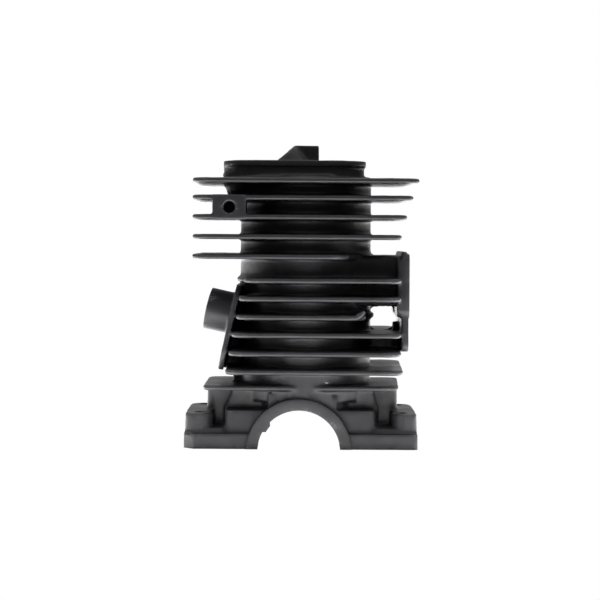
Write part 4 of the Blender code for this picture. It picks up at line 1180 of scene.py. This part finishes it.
class CYLINDER_OT_stage(bpy.types.Operator):
    """Stage: a white table and backdrop that light the part, and the level camera"""
    bl_idname = "cylinder.stage"
    bl_label = "Stage"

    def execute(self, context):
        stage = context.scene.cylinder_stage
        self.build_floor(stage)
        self.light_room(context.scene, stage)
        context.scene.view_settings.view_transform = "Standard"
        lens = bpy.data.cameras.new("camera")
        lens.sensor_width, lens.lens = SENSOR_WIDTH, FOCAL_LENGTH
        lens.shift_y = LENS_SHIFT
        lens.clip_start = 0.01
        camera = bpy.data.objects.new("camera", lens)
        front = CRANK.y - context.scene.cylinder_casting.fin_half_depth
        camera.location = (CRANK.x, front - stage.distance, CAD_LOW.z + stage.eye_height)
        camera.rotation_euler = (math.radians(90), stage.roll, 0)
        context.scene.collection.objects.link(camera)
        context.scene.camera = camera
        return {"FINISHED"}

    def build_floor(self, stage):
        """A white table that lights the object from below, and a dim patch where the object shades it."""
        table_top = CAD_LOW.z - TABLE_GAP
        table, tree, glow = self.glowing("floor", "white_table", TABLE_LOW + (table_top - 0.0016,),
                                         TABLE_HIGH + (table_top,))
        place = tree.nodes.new("ShaderNodeNewGeometry").outputs["Position"]
        reach = tree.nodes.new("ShaderNodeVectorMath")
        reach.operation = "LENGTH"
        tree.links.new(place, reach.inputs[0])
        shaded = remap(tree, reach.outputs["Value"], 0.04, 0.09, 0.35 * stage.from_below, stage.from_below)
        fading = remap(tree, reach.outputs["Value"], 0.12, stage.table_reach, stage.from_below,
                       stage.from_afar)
        split = tree.nodes.new("ShaderNodeSeparateXYZ")
        tree.links.new(place, split.inputs[0])
        behind = remap(tree, split.outputs["Y"], 0.03, 0.10, 0, 0.8 * stage.from_below)
        strength = math_node(tree, "MAXIMUM", math_node(tree, "MINIMUM", shaded, fading), behind)
        tree.links.new(strength, glow.inputs["Strength"])
        shade, _, glow = self.glowing("table_in_shade", "table_in_shade", (CAD_LOW.x, CAD_LOW.y, table_top),
                                      (CAD_HIGH.x, CAD_HIGH.y, CAD_LOW.z - TABLE_GAP / 2))
        glow.inputs["Strength"].default_value = stage.in_shade

    def glowing(self, name, finish, low, high):
        """A flat box that gives light but is not seen, with its material's tree and emission node."""
        obj = to_object(name, box_mesh(low, high)[0], bpy.context.scene.collection)
        material = bpy.data.materials.new(finish)
        material.use_nodes = True
        tree = material.node_tree
        tree.nodes.remove(tree.nodes["Principled BSDF"])
        glow = tree.nodes.new("ShaderNodeEmission")
        tree.links.new(glow.outputs[0], tree.nodes["Material Output"].inputs["Surface"])
        obj.data.materials.append(material)
        obj.visible_camera = False
        return obj, tree, glow

    def light_room(self, scene, stage):
        """A dark room at eye level with a soft light overhead. The camera sees a plain backdrop."""
        world = bpy.data.worlds.new("room")
        scene.world = world
        world.use_nodes = True
        tree = world.node_tree
        lit = tree.nodes["Background"]
        split = tree.nodes.new("ShaderNodeSeparateXYZ")
        tree.links.new(tree.nodes.new("ShaderNodeTexCoord").outputs["Generated"], split.inputs[0])
        above = remap(tree, split.outputs["Z"], 0.25, 0.75, stage.level, stage.overhead)
        behind = remap(tree, split.outputs["Y"], 0.60, 0.95, 0, stage.from_behind)
        strength = math_node(tree, "ADD", above, behind)
        tree.links.new(strength, lit.inputs["Strength"])
        lit.inputs["Color"].default_value = (1, 1, 1, 1)
        plain = tree.nodes.new("ShaderNodeBackground")
        plain.inputs["Color"].default_value = (*stage.backdrop, 1)
        mix = self.camera_mix(tree, lit.outputs[0], plain.outputs[0])
        tree.links.new(mix, tree.nodes["World Output"].inputs["Surface"])

    def camera_mix(self, tree, to_objects, to_camera):
        """What the camera sees straight on, mixed with what lights the object."""
        mix = tree.nodes.new("ShaderNodeMixShader")
        tree.links.new(tree.nodes.new("ShaderNodeLightPath").outputs["Is Camera Ray"], mix.inputs[0])
        tree.links.new(to_objects, mix.inputs[1])
        tree.links.new(to_camera, mix.inputs[2])
        return mix.outputs[0]


class CYLINDER_PT_panel(bpy.types.Panel):
    """Lists the pieces and their sizes in the 3D view's sidebar"""
    bl_idname = "CYLINDER_PT_panel"
    bl_label = "Two-stroke cylinder"
    bl_space_type = "VIEW_3D"
    bl_region_type = "UI"
    bl_category = "Cylinder"

    def draw(self, context):
        for operator in OPERATORS:
            self.layout.operator(operator.bl_idname)
        for name, _ in SETTINGS:
            box = self.layout.box()
            group = getattr(context.scene, name)
            for key in group.__annotations__:
                box.prop(group, key)


OPERATORS = (CYLINDER_OT_casting, CYLINDER_OT_sleeve, CYLINDER_OT_piston, CYLINDER_OT_rings,
             CYLINDER_OT_pin, CYLINDER_OT_bearing, CYLINDER_OT_stage)
SETTINGS = (("cylinder_casting", CastingSizes), ("cylinder_ports", PortSizes),
            ("cylinder_finish", FinishColours), ("cylinder_stage", StageSettings))


def register():
    for _, group in SETTINGS:
        bpy.utils.register_class(group)
    for name, group in SETTINGS:
        setattr(bpy.types.Scene, name, PointerProperty(type=group))
    for item in (*OPERATORS, CYLINDER_PT_panel):
        bpy.utils.register_class(item)


def unregister():
    for item in reversed((*OPERATORS, CYLINDER_PT_panel)):
        bpy.utils.unregister_class(item)
    for name, group in SETTINGS:
        delattr(bpy.types.Scene, name)
        bpy.utils.unregister_class(group)


def main():
    register()
    bpy.ops.cylinder.casting()
    bpy.ops.cylinder.sleeve()
    bpy.ops.cylinder.piston()
    bpy.ops.cylinder.rings()
    bpy.ops.cylinder.pin()
    bpy.ops.cylinder.bearing()
    bpy.ops.cylinder.stage()


if __name__ == "__main__":
    main()
